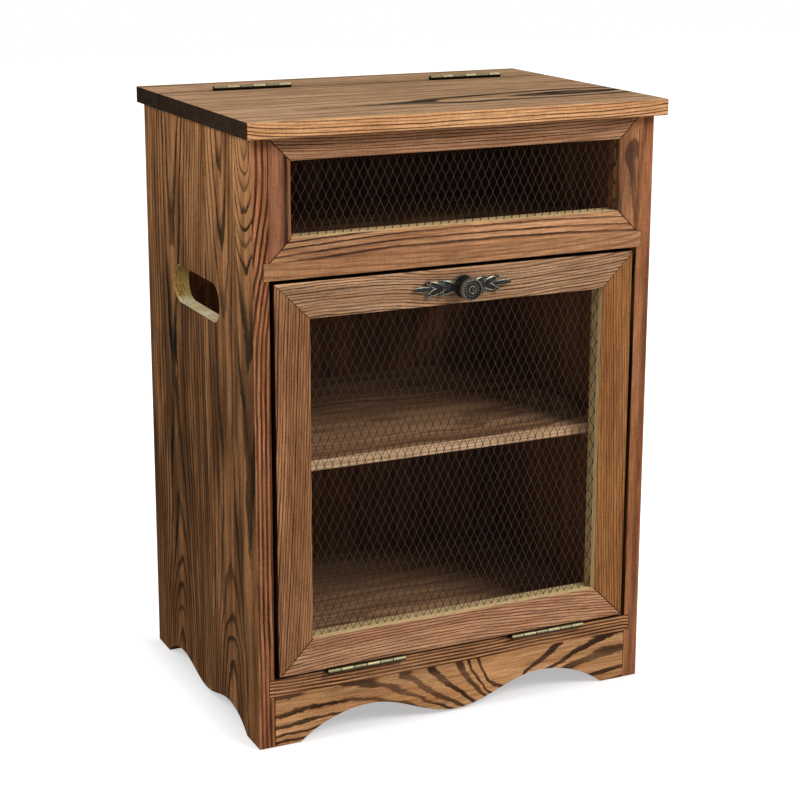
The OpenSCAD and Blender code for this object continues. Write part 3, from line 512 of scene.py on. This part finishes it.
for board, body, pith, seed in (
    ("lid", "lid", lid_pith, 17.0),
    ("top_strip", "cabinet", strip_pith, 19.0),
):
    low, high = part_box(board)
    top_face = burnt_pine(
        board + "_top", (0, low.x, high.x), 1, (2, high.z, -1), [(-300, pith)], lid_rings,
        (196, 157, 122), (172, 135, 101), (50, 43, 36),
        depth=1.0, sway=(0.9, 0.6, 0.4), uneven=0.1, smudge_and_shade=0.2, end=(26, 19, 18), seed=seed,
        fade=(37, 50, 0.4))
    heart = 1000 * low.z - 46
    edge_face = burnt_pine(
        board + "_edge", (0, low.x, high.x), 2, (1, low.y, 1),
        [(-300, [(0.0, heart, 2.6), (0.5, heart - 6, 2), (1.0, heart - 1, 2.6)])], 3.1,
        (232, 176, 124), (214, 154, 104), (66, 38, 25),
        depth=1.0, sway=(1.6, 0.4, 0.25), uneven=0.8, smudge_and_shade=0.08, seed=seed + 1.0)
    made = board_copy(board, 0.9 * mm, (2, high.z), (0, low.x), (0, high.x))
    finish_board(
        made, board, body, "lid_wood",
        (top_face, None),
        (raw_pine, lambda middle, normal: normal.z < -0.9),
        (joint_face, lambda middle, normal: abs(normal.y) > 0.25 and abs(middle.y - joint_y) < 3 * mm),
        (edge_face, lambda middle, normal: normal.y < -0.6 and board == "lid"),
    )


# ---- Upper frame ----
# Four mitred members, flush with the case, with the net in a groove. Each is cut from another
# board, so the grain changes at every mitre. The mitres are charred, and the backs are bare. The
# stiles' inner edges take the darker face finish as painted shade.

y_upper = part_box("upper_frame_top_rail")[0].y


def mitred(front):
    """A test for the slanting faces of the mitres, at a frame's front"""
    return lambda middle, normal: middle.y < front + mm and abs(normal.x * normal.z) > 0.04


# near-black char: a dark joint on the mitres, and painted shade on the door's outer edges in the gap round
# the door
charred_and_gap_shade = burnt_pine(
    "charred_edge_and_gap_shade", (2, 0.0, 0.54), 0, (1, y_upper, 1), charred_strips, 4.0, *charred_tints,
    depth=0.9, seed=37.0)
upper_members = {
    "upper_frame_top_rail": burnt_pine(
        "upper_top_rail", (0, -0.18, 0.18), 2, (1, y_upper, 1),
        [(-900, [(0.0, 470, 5), (0.5, 466, 4.5), (1.0, 472, 5)])], 2.7,
        (186, 138, 104), (160, 112, 80), (44, 26, 20),
        depth=1.0, sway=(2.0, 0.5, 0.25), uneven=0.8, smudge_and_shade=0.15, seed=23.0),
    "upper_frame_bottom_rail": burnt_pine(
        "upper_bottom_rail", (0, -0.18, 0.18), 2, (1, y_upper, 1),
        [(-900, [(0.0, 396, 2.6), (0.35, 402, 2.2), (0.7, 404, 2.6), (1.0, 398, 2)])], 6.2,
        (208, 154, 112), (184, 130, 90), (48, 30, 24),
        depth=0.97, sway=(4.0, 0.8, 0.4), uneven=0.8, smudge_and_shade=0.3, seed=24.0),
    "upper_frame_left_stile": burnt_pine(
        "upper_left_stile", (2, 0.43, 0.54), 0, (1, y_upper, 1),
        [(-900, [(0.0, -178, 1.1), (0.5, -176, 1.1), (1.0, -178, 1.1)])], 9.0,
        (158, 106, 77), (138, 90, 64), (48, 28, 24),
        depth=0.97, sway=(1.2, 0.5, 0.3), uneven=0.3, smudge_and_shade=0.2, seed=25.0),
    "upper_frame_right_stile": burnt_pine(
        "upper_right_stile", (2, 0.43, 0.54), 0, (1, y_upper, 1),
        [(-900, [(0.0, 196, 1.2), (0.25, 190, 1.4), (0.5, 184, 1.6), (0.75, 172, 1.9), (1.0, 176, 2.2)])],
        13.0,
        (188, 130, 90), (162, 108, 74), (50, 38, 33),
        depth=0.97, sway=(1.6, 0.6, 0.4), uneven=0.2, smudge_and_shade=0.5, seed=26.0),
}
# painted shade: the stiles' inner edges, which face across, take the darker face finish, while the rails'
# inner edges keep the bare pine
for member, face_finish in upper_members.items():
    made = board_copy(member, 0.45 * mm, (1, y_upper))
    finish_board(
        made, member, "cabinet", "front_wood",
        (raw_pine, None),
        (face_finish, lambda middle, normal: middle.y < y_upper + mm or abs(normal.x) > 0.8),
        (charred_and_gap_shade, mitred(y_upper)),
    )


# ---- Door ----
# Four mitred members like the upper frame's, wider and standing a little proud of the case. Fine
# late wood runs along each. The door's outer edges are charred like the mitres, near black, which
# also paints the shade in the gap round the door.

y_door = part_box("door_top_rail")[0].y
door_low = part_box("door_left_stile")[0]
door_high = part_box("door_right_stile")[1]


def on_rim(middle, normal):
    """Whether a face is part of the door's outer edges"""
    across = door_low.x + mm < middle.x < door_high.x - mm
    upward = door_low.z + mm < middle.z < door_high.z - mm
    return not (across and upward)


door_members = {
    "door_top_rail": burnt_pine(
        "door_top", (0, -0.175, 0.175), 2, (1, y_door, 1),
        [(-900, [(0.0, 350, 6), (0.25, 352, 6), (0.5, 345, 6), (0.8, 349, 6), (1.0, 354, 6)])], 2.6,
        (196, 154, 119), (169, 127, 94), (62, 38, 26),
        depth=0.97, sway=(3.2, 1.1, 0.4), uneven=0.8, smudge_and_shade=0.15, seed=33.0),
    "door_bottom_rail": burnt_pine(
        "door_bottom", (0, -0.175, 0.175), 2, (1, y_door, 1),
        [(-900, [(0.0, 24, 5.6), (0.4, 30, 5.6), (0.7, 26, 5.6), (1.0, 16, 5.6)])], 2.8,
        (214, 162, 122), (184, 130, 96), (58, 34, 24),
        depth=0.97, sway=(3.0, 0.9, 0.3), uneven=0.8, smudge_and_shade=0.15, seed=34.0),
    "door_left_stile": burnt_pine(
        "door_left", (2, 0.065, 0.415), 0, (1, y_door, 1),
        [(-900, [(0.0, -222, 4), (0.5, -212, 4), (1.0, -204, 4)])], 2.5,
        (180, 128, 88), (152, 102, 66), (52, 28, 17),
        depth=0.97, sway=(2.4, 0.6, 0.25), uneven=0.8, smudge_and_shade=0.15, seed=35.0),
    "door_right_stile": burnt_pine(
        "door_right", (2, 0.065, 0.415), 0, (1, y_door, 1),
        [(-900, [(0.0, 116, 4.4), (0.5, 110, 4.4), (1.0, 104, 4.4)])], 2.7,
        (170, 116, 70), (150, 98, 58), (68, 40, 24),
        depth=0.8, sway=(2.4, 0.6, 0.25), uneven=0.8, smudge_and_shade=0.15, seed=36.0),
}
# painted shade: the door's outer edges, in the gap round it, take the near-black charred finish
for member, face_finish in door_members.items():
    made = board_copy(member, 0.45 * mm, (1, y_door))
    finish_board(
        made, member, "door", "front_wood",
        (raw_pine, None),
        (charred_and_gap_shade, on_rim),
        (face_finish, lambda middle, normal: middle.y < y_door + mm),
        (charred_and_gap_shade, mitred(y_door)),
    )


# ---- Nets ----
# Expanded metal in a thin black coat: a sheet slit and pulled open, so that fine strands meet in
# short upright bonds. It is trimmed to the frames' grooves.

cell_w, cell_h = 7.7 * mm, 16.3 * mm
bond_w, bond_h = 0.9 * mm, 2.2 * mm
strand_w, net_thick = 0.45 * mm, 0.35 * mm


def points_of(geometry):
    """The vertices in what a bmesh operator gives back"""
    return [item for item in geometry if isinstance(item, bmesh.types.BMVert)]


def flat_net(name, low, high, sill):
    """Net between two corners, with a row of bonds at the height sill"""
    net = bmesh.new()
    bond = bmesh.ops.create_grid(net, x_segments=2, y_segments=1, size=0.5)["verts"]
    bmesh.ops.scale(net, verts=bond, vec=(bond_w, bond_h, 1.0))
    ends = [edge for edge in net.edges if abs(edge.verts[0].co.y - edge.verts[1].co.y) < 1e-6]
    for edge in ends:
        middle = (edge.verts[0].co + edge.verts[1].co) / 2
        right = 1 if middle.x > 0 else -1
        up = 1 if middle.y > 0 else -1
        drawn = bmesh.ops.extrude_edge_only(net, edges=[edge])["geom"]
        tips = sorted(points_of(drawn), key=lambda vertex: vertex.co.x)
        across = Vector((1.0, -right * up * 0.5, 0.0)).normalized() * strand_w / 2
        for vertex, sign in zip(tips, (-1, 1)):
            vertex.co = Vector((right * cell_w / 4, up * cell_h / 4, 0.0)) + sign * across
    unit = list(net.verts) + list(net.edges) + list(net.faces)
    start = Vector((0.5 * (low.x + high.x), sill - cell_h, 0.0))
    columns = int((high.x - low.x) / cell_w / 2) + 2
    rows = int((high.z - low.z) / cell_h) + 3
    for row in range(2 * rows):
        for column in range(-columns, columns + 1):
            copied = bmesh.ops.duplicate(net, geom=unit)["geom"]
            shift = Vector(((column + 0.5 * (row % 2)) * cell_w, row * cell_h / 2, 0.0)) + start
            bmesh.ops.translate(net, verts=points_of(copied), vec=shift)
    bmesh.ops.delete(net, geom=points_of(unit), context="VERTS")
    bmesh.ops.remove_doubles(net, verts=net.verts, dist=0.02 * mm)
    for place, normal in (
        ((low.x, 0, 0), (-1, 0, 0)),
        ((high.x, 0, 0), (1, 0, 0)),
        ((0, low.z, 0), (0, -1, 0)),
        ((0, high.z, 0), (0, 1, 0)),
    ):
        cut_across(net, place, normal, beyond=True)
    bmesh.ops.rotate(net, verts=net.verts, cent=(0, 0, 0), matrix=Matrix.Rotation(radians(90), 3, "X"))
    bmesh.ops.translate(net, verts=net.verts, vec=(0, (low.y + high.y + net_thick) / 2, 0))
    bmesh.ops.recalc_face_normals(net, faces=net.faces)
    made = as_object(net, name)
    wall = made.modifiers.new("sheet", "SOLIDIFY")
    wall.thickness = net_thick
    wall.offset = 0
    return made


def coated(name, colour, worn, rough, metal, wear=(0.5, 0.62), size=9.0, bump=0.1):
    """Metal or plastic with a finish that is rubbed off on its high edges, and where the piece's
    own rub attribute says so: rubbed relief on the knob and plate, but a painted highlight on the
    hinges' barrels"""
    material, tree = bare_material(name)
    coordinates = tree.nodes.new("ShaderNodeTexCoord")
    place = tree.nodes.new("ShaderNodeVectorMath")
    place.operation = "SCALE"
    place.inputs["Scale"].default_value = 1000.0
    tree.links.new(coordinates.outputs["Object"], place.inputs[0])
    blotch = cloud(tree, place.outputs[0], (size, size, size), 3.0, 4.0).outputs["Fac"]
    grit = cloud(tree, place.outputs[0], (0.8, 0.8, 0.8), 6.0, 3.0).outputs["Fac"]
    geometry = tree.nodes.new("ShaderNodeNewGeometry")
    edge = between(tree, geometry.outputs["Pointiness"], wear[0], wear[1])
    rub_and_highlight = tree.nodes.new("ShaderNodeAttribute")
    rub_and_highlight.attribute_name = "rub_and_highlight"
    rubbed = maths(tree, "MULTIPLY", maths(tree, "MAXIMUM", edge, rub_and_highlight.outputs["Fac"]),
                   between(tree, grit, 0.35, 0.6, 0.35, 1.0))
    tinted = blended(tree, between(tree, blotch, 0.35, 0.65, 0.0, 0.55), tone(*colour),
                     tone(*[0.6 * part for part in colour]))
    shader = tree.nodes.new("ShaderNodeBsdfPrincipled")
    tree.links.new(blended(tree, rubbed, tinted, tone(*worn)), shader.inputs["Base Color"])
    shader.inputs["Metallic"].default_value = metal
    shader.inputs["Specular IOR Level"].default_value = 0.15
    tree.links.new(between(tree, grit, 0.3, 0.7, rough - 0.08, rough + 0.1), shader.inputs["Roughness"])
    with_relief(tree, shader, grit, 0.5, bump * mm)
    return material


net_coat = coated("net_coat", (46, 44, 42), (74, 70, 67), 0.5, 0.0, (0.6, 0.9), 12.0, 0.05)
for net, body, sill in (
    ("upper_net", "cabinet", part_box("upper_frame_bottom_rail")[1].z),
    ("door_net", "door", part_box("door_bottom_rail")[1].z - 0.8 * mm),
):
    low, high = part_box(net)
    made = flat_net(net + "_expanded", low, high, sill)
    made.data.materials.append(net_coat)
    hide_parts(net)
    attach(made, body)


# ---- Hinges ----
# Four butt hinges of antique brass, each of two leaves with three knuckles round a pin. The knuckles'
# ends are rounded, and the dark joints between them show. A highlight is painted along each barrel's
# lit side, brighter on some knuckles. The pins end in small domes.

knuckles = 6
knuckle_eased = 0.22 * mm
joint_half, bright_from = 0.6 * mm, 0.55 * mm

# the way that the painted highlight on a barrel faces, and how bright it is on each knuckle, from left to
# right
lid_highlight = (Vector((0, -0.45, 0.89)), (0.45, 0.85, 0.35, 0.9, 0.4, 0.85))
door_highlight = (Vector((0, -0.8, 0.6)), (0.4, 0.55, 0.35, 0.6, 0.4, 0.5))
# the worn colour here is also the colour of the painted highlight on the barrels
old_brass = coated("old_brass", (36, 29, 18), (204, 192, 148), 0.4, 0.7, (0.75, 0.9), 5.0, 0.12)
for name in list(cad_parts):
    if "_hinge_" not in name or name.endswith("_pin"):
        continue
    half = merged_copy(name)
    rims = [
        edge for edge in half.edges
        if edge.is_manifold and edge.calc_face_angle(0) > radians(60)
        and abs(edge.verts[0].co.x - edge.verts[1].co.x) < 1e-6
    ]
    eased(half, rims, knuckle_eased)
    pin_low, pin_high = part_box(name.rsplit("_", 2)[0] + "_pin")
    axis = (pin_low + pin_high) / 2
    pitch = (pin_high.x - pin_low.x) / knuckles
    for knuckle in range(knuckles):
        for shift in (joint_half, pitch - joint_half):
            cut_across(half, (pin_low.x + knuckle * pitch + shift, 0, 0), (1, 0, 0))
    made = as_object(half, name + "_rounded")
    highlight_side, knuckle_highlight = lid_highlight if name.startswith("lid") else door_highlight
    rub_and_highlight = made.data.attributes.new("rub_and_highlight", "FLOAT", "POINT")
    for vertex, value in zip(made.data.vertices, rub_and_highlight.data):
        from_axis = vertex.co - axis
        from_axis.x = 0
        shown = from_axis.normalized().dot(highlight_side)
        knuckle, inset = divmod((vertex.co.x - pin_low.x) / pitch, 1)
        inside = bright_from < inset * pitch < pitch - bright_from
        # painted highlight: a bright band along the side of the barrel that faces the given direction, set
        # per knuckle and left off near the knuckles' ends
        value.value = inside * knuckle_highlight[int(knuckle) % knuckles] * max(0, min(1, (shown - 0.68) / 0.25))
    made.data.materials.append(old_brass)
    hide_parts(name)
    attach(made, "lid" if name.endswith("lid_leaf") else "door" if name.endswith("door_leaf") else "cabinet")

dome_r = 1.7 * mm
for name in [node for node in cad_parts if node.endswith("_pin")]:
    low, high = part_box(name)
    length, radius = high.x - low.x, (high.z - low.z) / 2
    pin = bmesh.new()
    bmesh.ops.create_cone(pin, cap_ends=True, segments=24, radius1=radius, radius2=radius, depth=length)
    for end in (-1, 1):
        dome = bmesh.ops.create_uvsphere(pin, u_segments=24, v_segments=12, radius=dome_r)["verts"]
        bmesh.ops.scale(pin, verts=dome, vec=(1, 1, 0.45))
        bmesh.ops.translate(pin, verts=dome, vec=(0, 0, end * (length / 2 + 0.1 * mm)))
    bmesh.ops.rotate(pin, verts=pin.verts, cent=(0, 0, 0), matrix=Matrix.Rotation(radians(90), 3, "Y"))
    bmesh.ops.translate(pin, verts=pin.verts, vec=(low + high) / 2)
    for face in pin.faces:
        face.smooth = True
    made = as_object(pin, name + "_domed")
    made.data.set_sharp_from_angle(angle=radians(40))
    made.data.materials.append(old_brass)
    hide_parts(name)
    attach(made, "cabinet")


# ---- Knob and backplate ----
# A cast knob in dark pewter with a fluted rim, a ring of petals and a button. Behind it lies a round
# plate with a beaded rim and a leafy wing on each side, in low relief: a pointed leaf at the tip,
# and two pairs of side leaves that end in round curls.

pewter = coated("antique_pewter", (32, 31, 29), (206, 202, 180), 0.42, 0.55, (0.75, 0.9), 3.0, 0.1)
knob_low, knob_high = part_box("knob")
plate_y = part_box("knob_backplate")[0].y
centre = Vector(((knob_low.x + knob_high.x) / 2, plate_y, (knob_low.z + knob_high.z) / 2))


def turned(outline, steps):
    """A solid turned round Z from (radius, height) points in millimetres"""
    body = bmesh.new()
    body.verts.layers.float.new("rub_and_highlight")
    points = [body.verts.new((radius * mm, 0, height * mm)) for radius, height in outline]
    edges = [body.edges.new(pair) for pair in zip(points, points[1:])]
    bmesh.ops.spin(body, geom=points + edges, cent=(0, 0, 0), axis=(0, 0, 1), dvec=(0, 0, 0),
                   angle=2 * pi, steps=steps, use_merge=True, use_duplicate=False)
    bmesh.ops.remove_doubles(body, verts=body.verts, dist=1e-6)
    bmesh.ops.recalc_face_normals(body, faces=body.faces)
    return body


def as_cast(body, name, nodes, smooth_angle):
    """Stands a body that was made lying on Z = 0 up against the door's face"""
    bmesh.ops.rotate(body, verts=body.verts, cent=(0, 0, 0), matrix=Matrix.Rotation(radians(90), 3, "X"))
    bmesh.ops.translate(body, verts=body.verts, vec=centre)
    for face in body.faces:
        face.smooth = True
    made = as_object(body, name)
    made.data.set_sharp_from_angle(angle=radians(smooth_angle))
    made.data.materials.append(pewter)
    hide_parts(*nodes)
    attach(made, "door")


flutes = 28
rim_r = 500 * (knob_high.x - knob_low.x)
rim_inner, rim_low, rim_top, flute_depth = 8.3, 12.5, 17.5, 0.5
knob = turned([(0, 0), (9.8, 0), (10.1, 0.8), (9.9, 1.8), (9.3, 3.0), (8.7, 4.4), (8.1, 6.0), (7.6, 7.6),
               (7.4, 9.2), (7.6, 10.6), (8.2, 11.8), (8.9, 12.7), (9.6, 13.4), (rim_r, 14.4), (rim_r, 15.6),
               (rim_r, 17.2), (9.7, 18.2), (9.1, 19.0), (8.6, 19.3), (8.1, 19.0), (7.7, 18.4), (7.2, 18.1),
               (6.5, 18.5), (5.8, 18.7), (5.0, 18.5), (4.4, 18.1), (4.0, 18.2), (3.7, 18.9), (3.2, 19.2),
               (2.7, 18.9), (2.4, 18.6), (1.9, 19.2), (1.0, 19.8), (0, 20.0)], 8 * flutes)
rub_and_highlight = knob.verts.layers.float["rub_and_highlight"]
for vertex in knob.verts:
    radius = hypot(vertex.co.x, vertex.co.y) / mm
    angle = atan2(vertex.co.y, vertex.co.x)
    high = vertex.co.z / mm
    vertex[rub_and_highlight] = 0.0
    if high > 18:
        ring = 0.45 * exp(-((radius - 3.3) / 0.5) ** 2)
        button = 0.2 * exp(-(radius / 0.9) ** 2)
        petal = 0.3 * max(0, 1 - abs(radius - 6) / 1.6) * abs(cos(flutes / 2 * angle))
        vertex[rub_and_highlight] = ring + button + petal
    elif high < 9:
        vertex[rub_and_highlight] = 0.3 * exp(-((high - 1.0) / 0.6) ** 2)
    if radius > rim_inner and high > rim_low:
        groove = 0.5 - 0.5 * cos(flutes * angle)
        vertex[rub_and_highlight] = 0.55 * (1 - groove) * (high > 14)
        vertex.co.x *= 1 - 0.075 * groove
        vertex.co.y *= 1 - 0.075 * groove
        vertex.co.z -= flute_depth * mm * groove * (high > rim_top)
    elif 4.3 < radius < 7.6 and high > 15:
        vertex.co.z -= 0.55 * mm * abs(sin(flutes / 2 * angle))
as_cast(knob, "knob_cast", ["knob"], 55)


def leaf(body, length, width, height, turn, x, y, worn=0.95):
    """A pointed leaf in low relief with a sunken midrib, which starts at (x, y) and points the way
    of turn, in degrees. All lengths are in millimetres."""
    grid = bmesh.ops.create_grid(body, x_segments=12, y_segments=10, size=0.5)["verts"]
    rub_and_highlight = body.verts.layers.float["rub_and_highlight"]
    for vertex in grid:
        t, s = vertex.co.x + 0.5, 2 * vertex.co.y
        vertex[rub_and_highlight] = worn * exp(-((abs(s) - 0.8) / 0.1) ** 2)
        half = width / 2 * max(0, sin(pi * min(1, t ** 0.9))) ** 0.6 + 0.12
        crown = height * (0.25 + 0.75 * (1 - s * s)) * (0.45 + 0.75 * sin(pi * t ** 0.7))
        crown -= 0.45 * height * exp(-(s / 0.22) ** 2) * sin(pi * t)
        vertex.co = Vector((length * t, half * s, crown)) * mm
    fresh = set(grid)
    outline = [edge for edge in body.edges if edge.is_boundary and edge.verts[0] in fresh]
    skirt = bmesh.ops.extrude_edge_only(body, edges=outline)["geom"]
    feet = points_of(skirt)
    for vertex in feet:
        vertex.co.z = 0
    base = [item for item in skirt if isinstance(item, bmesh.types.BMEdge)
            and all(abs(vertex.co.z) < 1e-9 for vertex in item.verts)]
    bmesh.ops.contextual_create(body, geom=base)
    moved = grid + feet
    bmesh.ops.rotate(body, verts=moved, cent=(0, 0, 0), matrix=Matrix.Rotation(radians(turn), 3, "Z"))
    bmesh.ops.translate(body, verts=moved, vec=(x * mm, y * mm, 0))


plate_r, beads, bead_height = 10.5, 24, 0.3
plate = turned([(0, 0), (10.3, 0), (plate_r, 0.6), (10.3, 1.3), (9.7, 1.8), (8.8, 2.0), (0, 2.0)], 4 * beads)
rub_and_highlight = plate.verts.layers.float["rub_and_highlight"]
for vertex in plate.verts:
    radius = hypot(vertex.co.x, vertex.co.y) / mm
    angle = atan2(vertex.co.y, vertex.co.x)
    if radius > 9.5 and vertex.co.z > 1.0 * mm:
        vertex.co.z -= bead_height * mm * (0.5 - 0.5 * cos(beads * angle))
        vertex[rub_and_highlight] = 0.5 * (0.5 + 0.5 * cos(beads * angle))

wing_reach, tip_length, leaf_angle, curl_from = 48, 12.8, 22, 14.56
wing_step = (wing_reach - plate_r - tip_length) / 2
curl_outline = [(0, 0), (2.1, 0), (2.3, 0.3), (2.3, 1.1), (2.0, 1.7), (1.6, 1.8), (1.2, 1.4), (0.9, 0.7),
                (0, 0.5)]
for way, heading in ((1, 0), (-1, 180)):
    leaf(plate, 18, 5.4, 1.9, heading, way * 30, 0)
    leaf(plate, 24, 4.0, 1.6, heading, way * 8, 0, 0.1)
    for step in (0, 1):
        start = plate_r - 3 + step * wing_step
        for turn in (-1, 1):
            leaf(plate, 14.5, 6.6, 1.8, heading + way * turn * leaf_angle, way * start, 0)
            along = Vector((way * cos(radians(leaf_angle)), turn * sin(radians(leaf_angle)), 0))
            curl = turned(curl_outline, 24)
            rub_and_highlight = curl.verts.layers.float["rub_and_highlight"]
            for vertex in curl.verts:
                vertex[rub_and_highlight] = 0.35 * (vertex.co.z > 1.3 * mm)
            bmesh.ops.translate(curl, verts=curl.verts,
                                vec=(Vector((way * start, 0, 0)) + along * curl_from) * mm)
            piece = bpy.data.meshes.new("curl")
            curl.to_mesh(piece)
            curl.free()
            plate.from_mesh(piece)
bmesh.ops.recalc_face_normals(plate, faces=plate.faces)
as_cast(plate, "knob_backplate_cast", ["knob_backplate"], 50)


# ---- Fasteners and catch ----
# Screws of the hinges in their brass, plated screws and nails elsewhere, beech dowels, and a brown
# magnet catch with its plated strike.

plated = coated("zinc_plate", (172, 172, 170), (206, 206, 204), 0.38, 0.9, (0.55, 0.75), 5.0, 0.05)
brown_plastic = coated("brown_plastic", (84, 62, 46), (104, 80, 60), 0.5, 0.0, (0.55, 0.8), 14.0, 0.08)
beech = burnt_pine(
    "beech_dowel", (2, 0.0, 0.6), 0, (1, 0.0, 1), [(0, [(0, 40, 10), (1, 44, 11)])], 2.0,
    (212, 176, 132), (196, 158, 114), (158, 120, 84),
    depth=0.4, sway=(2.0, 0.5, 0.2), uneven=1.2, smudge_and_shade=0.1, end=(190, 150, 108), seed=41.0)
leaf_screws = ["strip_leaf_screws", "lid_leaf_screws", "shelf_leaf_screws", "door_leaf_screws"]
plated_parts = ["knob_screw", "catch_screws", "strike_plate", "strike_screw", "cleat_screws",
                "back_panel_nails"]
for names, finish in (
    (leaf_screws, old_brass),
    (plated_parts, plated),
    (["catch_housing"], brown_plastic),
    (["strip_dowels", "apron_dowels"], beech),
):
    for name in names:
        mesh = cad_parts[name].data
        mesh.materials.clear()
        mesh.materials.append(finish)


# ---- Floor, lights and camera ----
# A white floor that keeps the cabinet's soft shadow, and whose glow for the camera is weaker under
# the cabinet and within a few centimetres of its footprint, a painted shadow there; one large soft
# lamp high on the right and a small one on the left, and the camera where the photograph was
# taken: on the left, a little above the lid.

foot_x, foot_y = 193 * mm, 138 * mm


def seen_directly(tree):
    """One where the camera sees a surface or its mirror image, nought where it only gives light"""
    rays = tree.nodes.new("ShaderNodeLightPath")
    return maths(tree, "MAXIMUM", rays.outputs["Is Camera Ray"],
                 maths(tree, "MAXIMUM", rays.outputs["Is Glossy Ray"], rays.outputs["Is Transmission Ray"]))


def either(tree, share, first, second, output_type):
    """The output of a tree: the first shader, and the second where share is one"""
    pick = tree.nodes.new("ShaderNodeMixShader")
    output = tree.nodes.new(output_type)
    for source, socket in ((share, pick.inputs[0]), (first, pick.inputs[1]), (second, pick.inputs[2])):
        tree.links.new(source, socket)
    tree.links.new(pick.outputs[0], output.inputs[0])


white, tree = bare_material("white_floor")
matt = tree.nodes.new("ShaderNodeBsdfDiffuse")
matt.inputs["Color"].default_value = (0.62, 0.62, 0.62, 1)
coordinates = tree.nodes.new("ShaderNodeTexCoord")
split = tree.nodes.new("ShaderNodeSeparateXYZ")
tree.links.new(coordinates.outputs["Object"], split.inputs[0])
outside = maths(tree, "MAXIMUM",
                maths(tree, "SUBTRACT", maths(tree, "ABSOLUTE", split.outputs[0]), foot_x),
                maths(tree, "SUBTRACT", maths(tree, "ABSOLUTE", split.outputs[1]), foot_y))
# painted shadow: the glow that the camera sees drops from full white to 0.44 under the cabinet and within
# about 6.5 cm of its footprint
glow_and_painted_shadow = tree.nodes.new("ShaderNodeEmission")
tree.links.new(between(tree, outside, -0.03, 0.065, 0.44, 1.0), glow_and_painted_shadow.inputs["Strength"])
both = tree.nodes.new("ShaderNodeAddShader")
tree.links.new(matt.outputs[0], both.inputs[0])
tree.links.new(glow_and_painted_shadow.outputs[0], both.inputs[1])
either(tree, seen_directly(tree), matt.outputs[0], both.outputs[0], "ShaderNodeOutputMaterial")
sheet = bmesh.new()
bmesh.ops.create_grid(sheet, x_segments=1, y_segments=1, size=6.0)
floor = as_object(sheet, "floor")
floor.location.z = -0.2 * mm
floor.data.materials.append(white)

world = bpy.data.worlds.new("studio")
bpy.context.scene.world = world
world.use_nodes = True
tree = world.node_tree
tree.nodes.clear()
fill = tree.nodes.new("ShaderNodeBackground")
fill.inputs["Color"].default_value = (1, 1, 1, 1)
fill.inputs["Strength"].default_value = 0.32
backdrop = tree.nodes.new("ShaderNodeBackground")
backdrop.inputs["Color"].default_value = (1, 1, 1, 1)
either(tree, seen_directly(tree), fill.outputs[0], backdrop.outputs[0], "ShaderNodeOutputWorld")

aim = Vector((0, 0, 0.28))
for name, spot, size, power in (
    ("key", (1.15, -1.9, 2.1), 1.3, 55.0),
    ("side", (-0.7, -0.2, 0.78), 0.3, 2.3),
):
    lamp = bpy.data.lights.new(name, "AREA")
    lamp.shape = "DISK"
    lamp.size = size
    lamp.energy = power
    holder = bpy.data.objects.new(name, lamp)
    holder.location = spot
    holder.rotation_mode = "QUATERNION"
    holder.rotation_quaternion = (aim - Vector(spot)).to_track_quat("-Z", "Y")
    bpy.context.scene.collection.objects.link(holder)

# the photograph's camera: focal length and principal point in pixels, and its film in millimetres
picture = 800
focal_px = 1917.68
principal_y = 336
film = 36
yaw, pitch, roll = radians(25.44), radians(13.80), radians(0.15)
pivot = Vector((0.0, 0.019, 0.280))
offset = Vector((-9.86, -40.49, 1821.2)) * mm
ahead = Vector((sin(yaw) * cos(pitch), cos(yaw) * cos(pitch), -sin(pitch)))
level = Vector((cos(yaw), -sin(yaw), 0))
upward = level.cross(ahead)
right = level * cos(roll) + upward * sin(roll)
up = upward * cos(roll) - level * sin(roll)
camera = bpy.data.objects.new("camera", bpy.data.cameras.new("camera"))
bpy.context.scene.collection.objects.link(camera)
turn = Matrix((right, up, -ahead)).transposed().to_4x4()
place = pivot - (offset.x * right + offset.y * up + offset.z * ahead)
camera.matrix_world = Matrix.Translation(place) @ turn
camera.data.sensor_width = film
camera.data.lens = focal_px / picture * film
camera.data.shift_y = (principal_y - picture / 2) / picture
camera.data.clip_end = 100
bpy.context.scene.camera = camera
bpy.context.scene.view_settings.view_transform = "Standard"
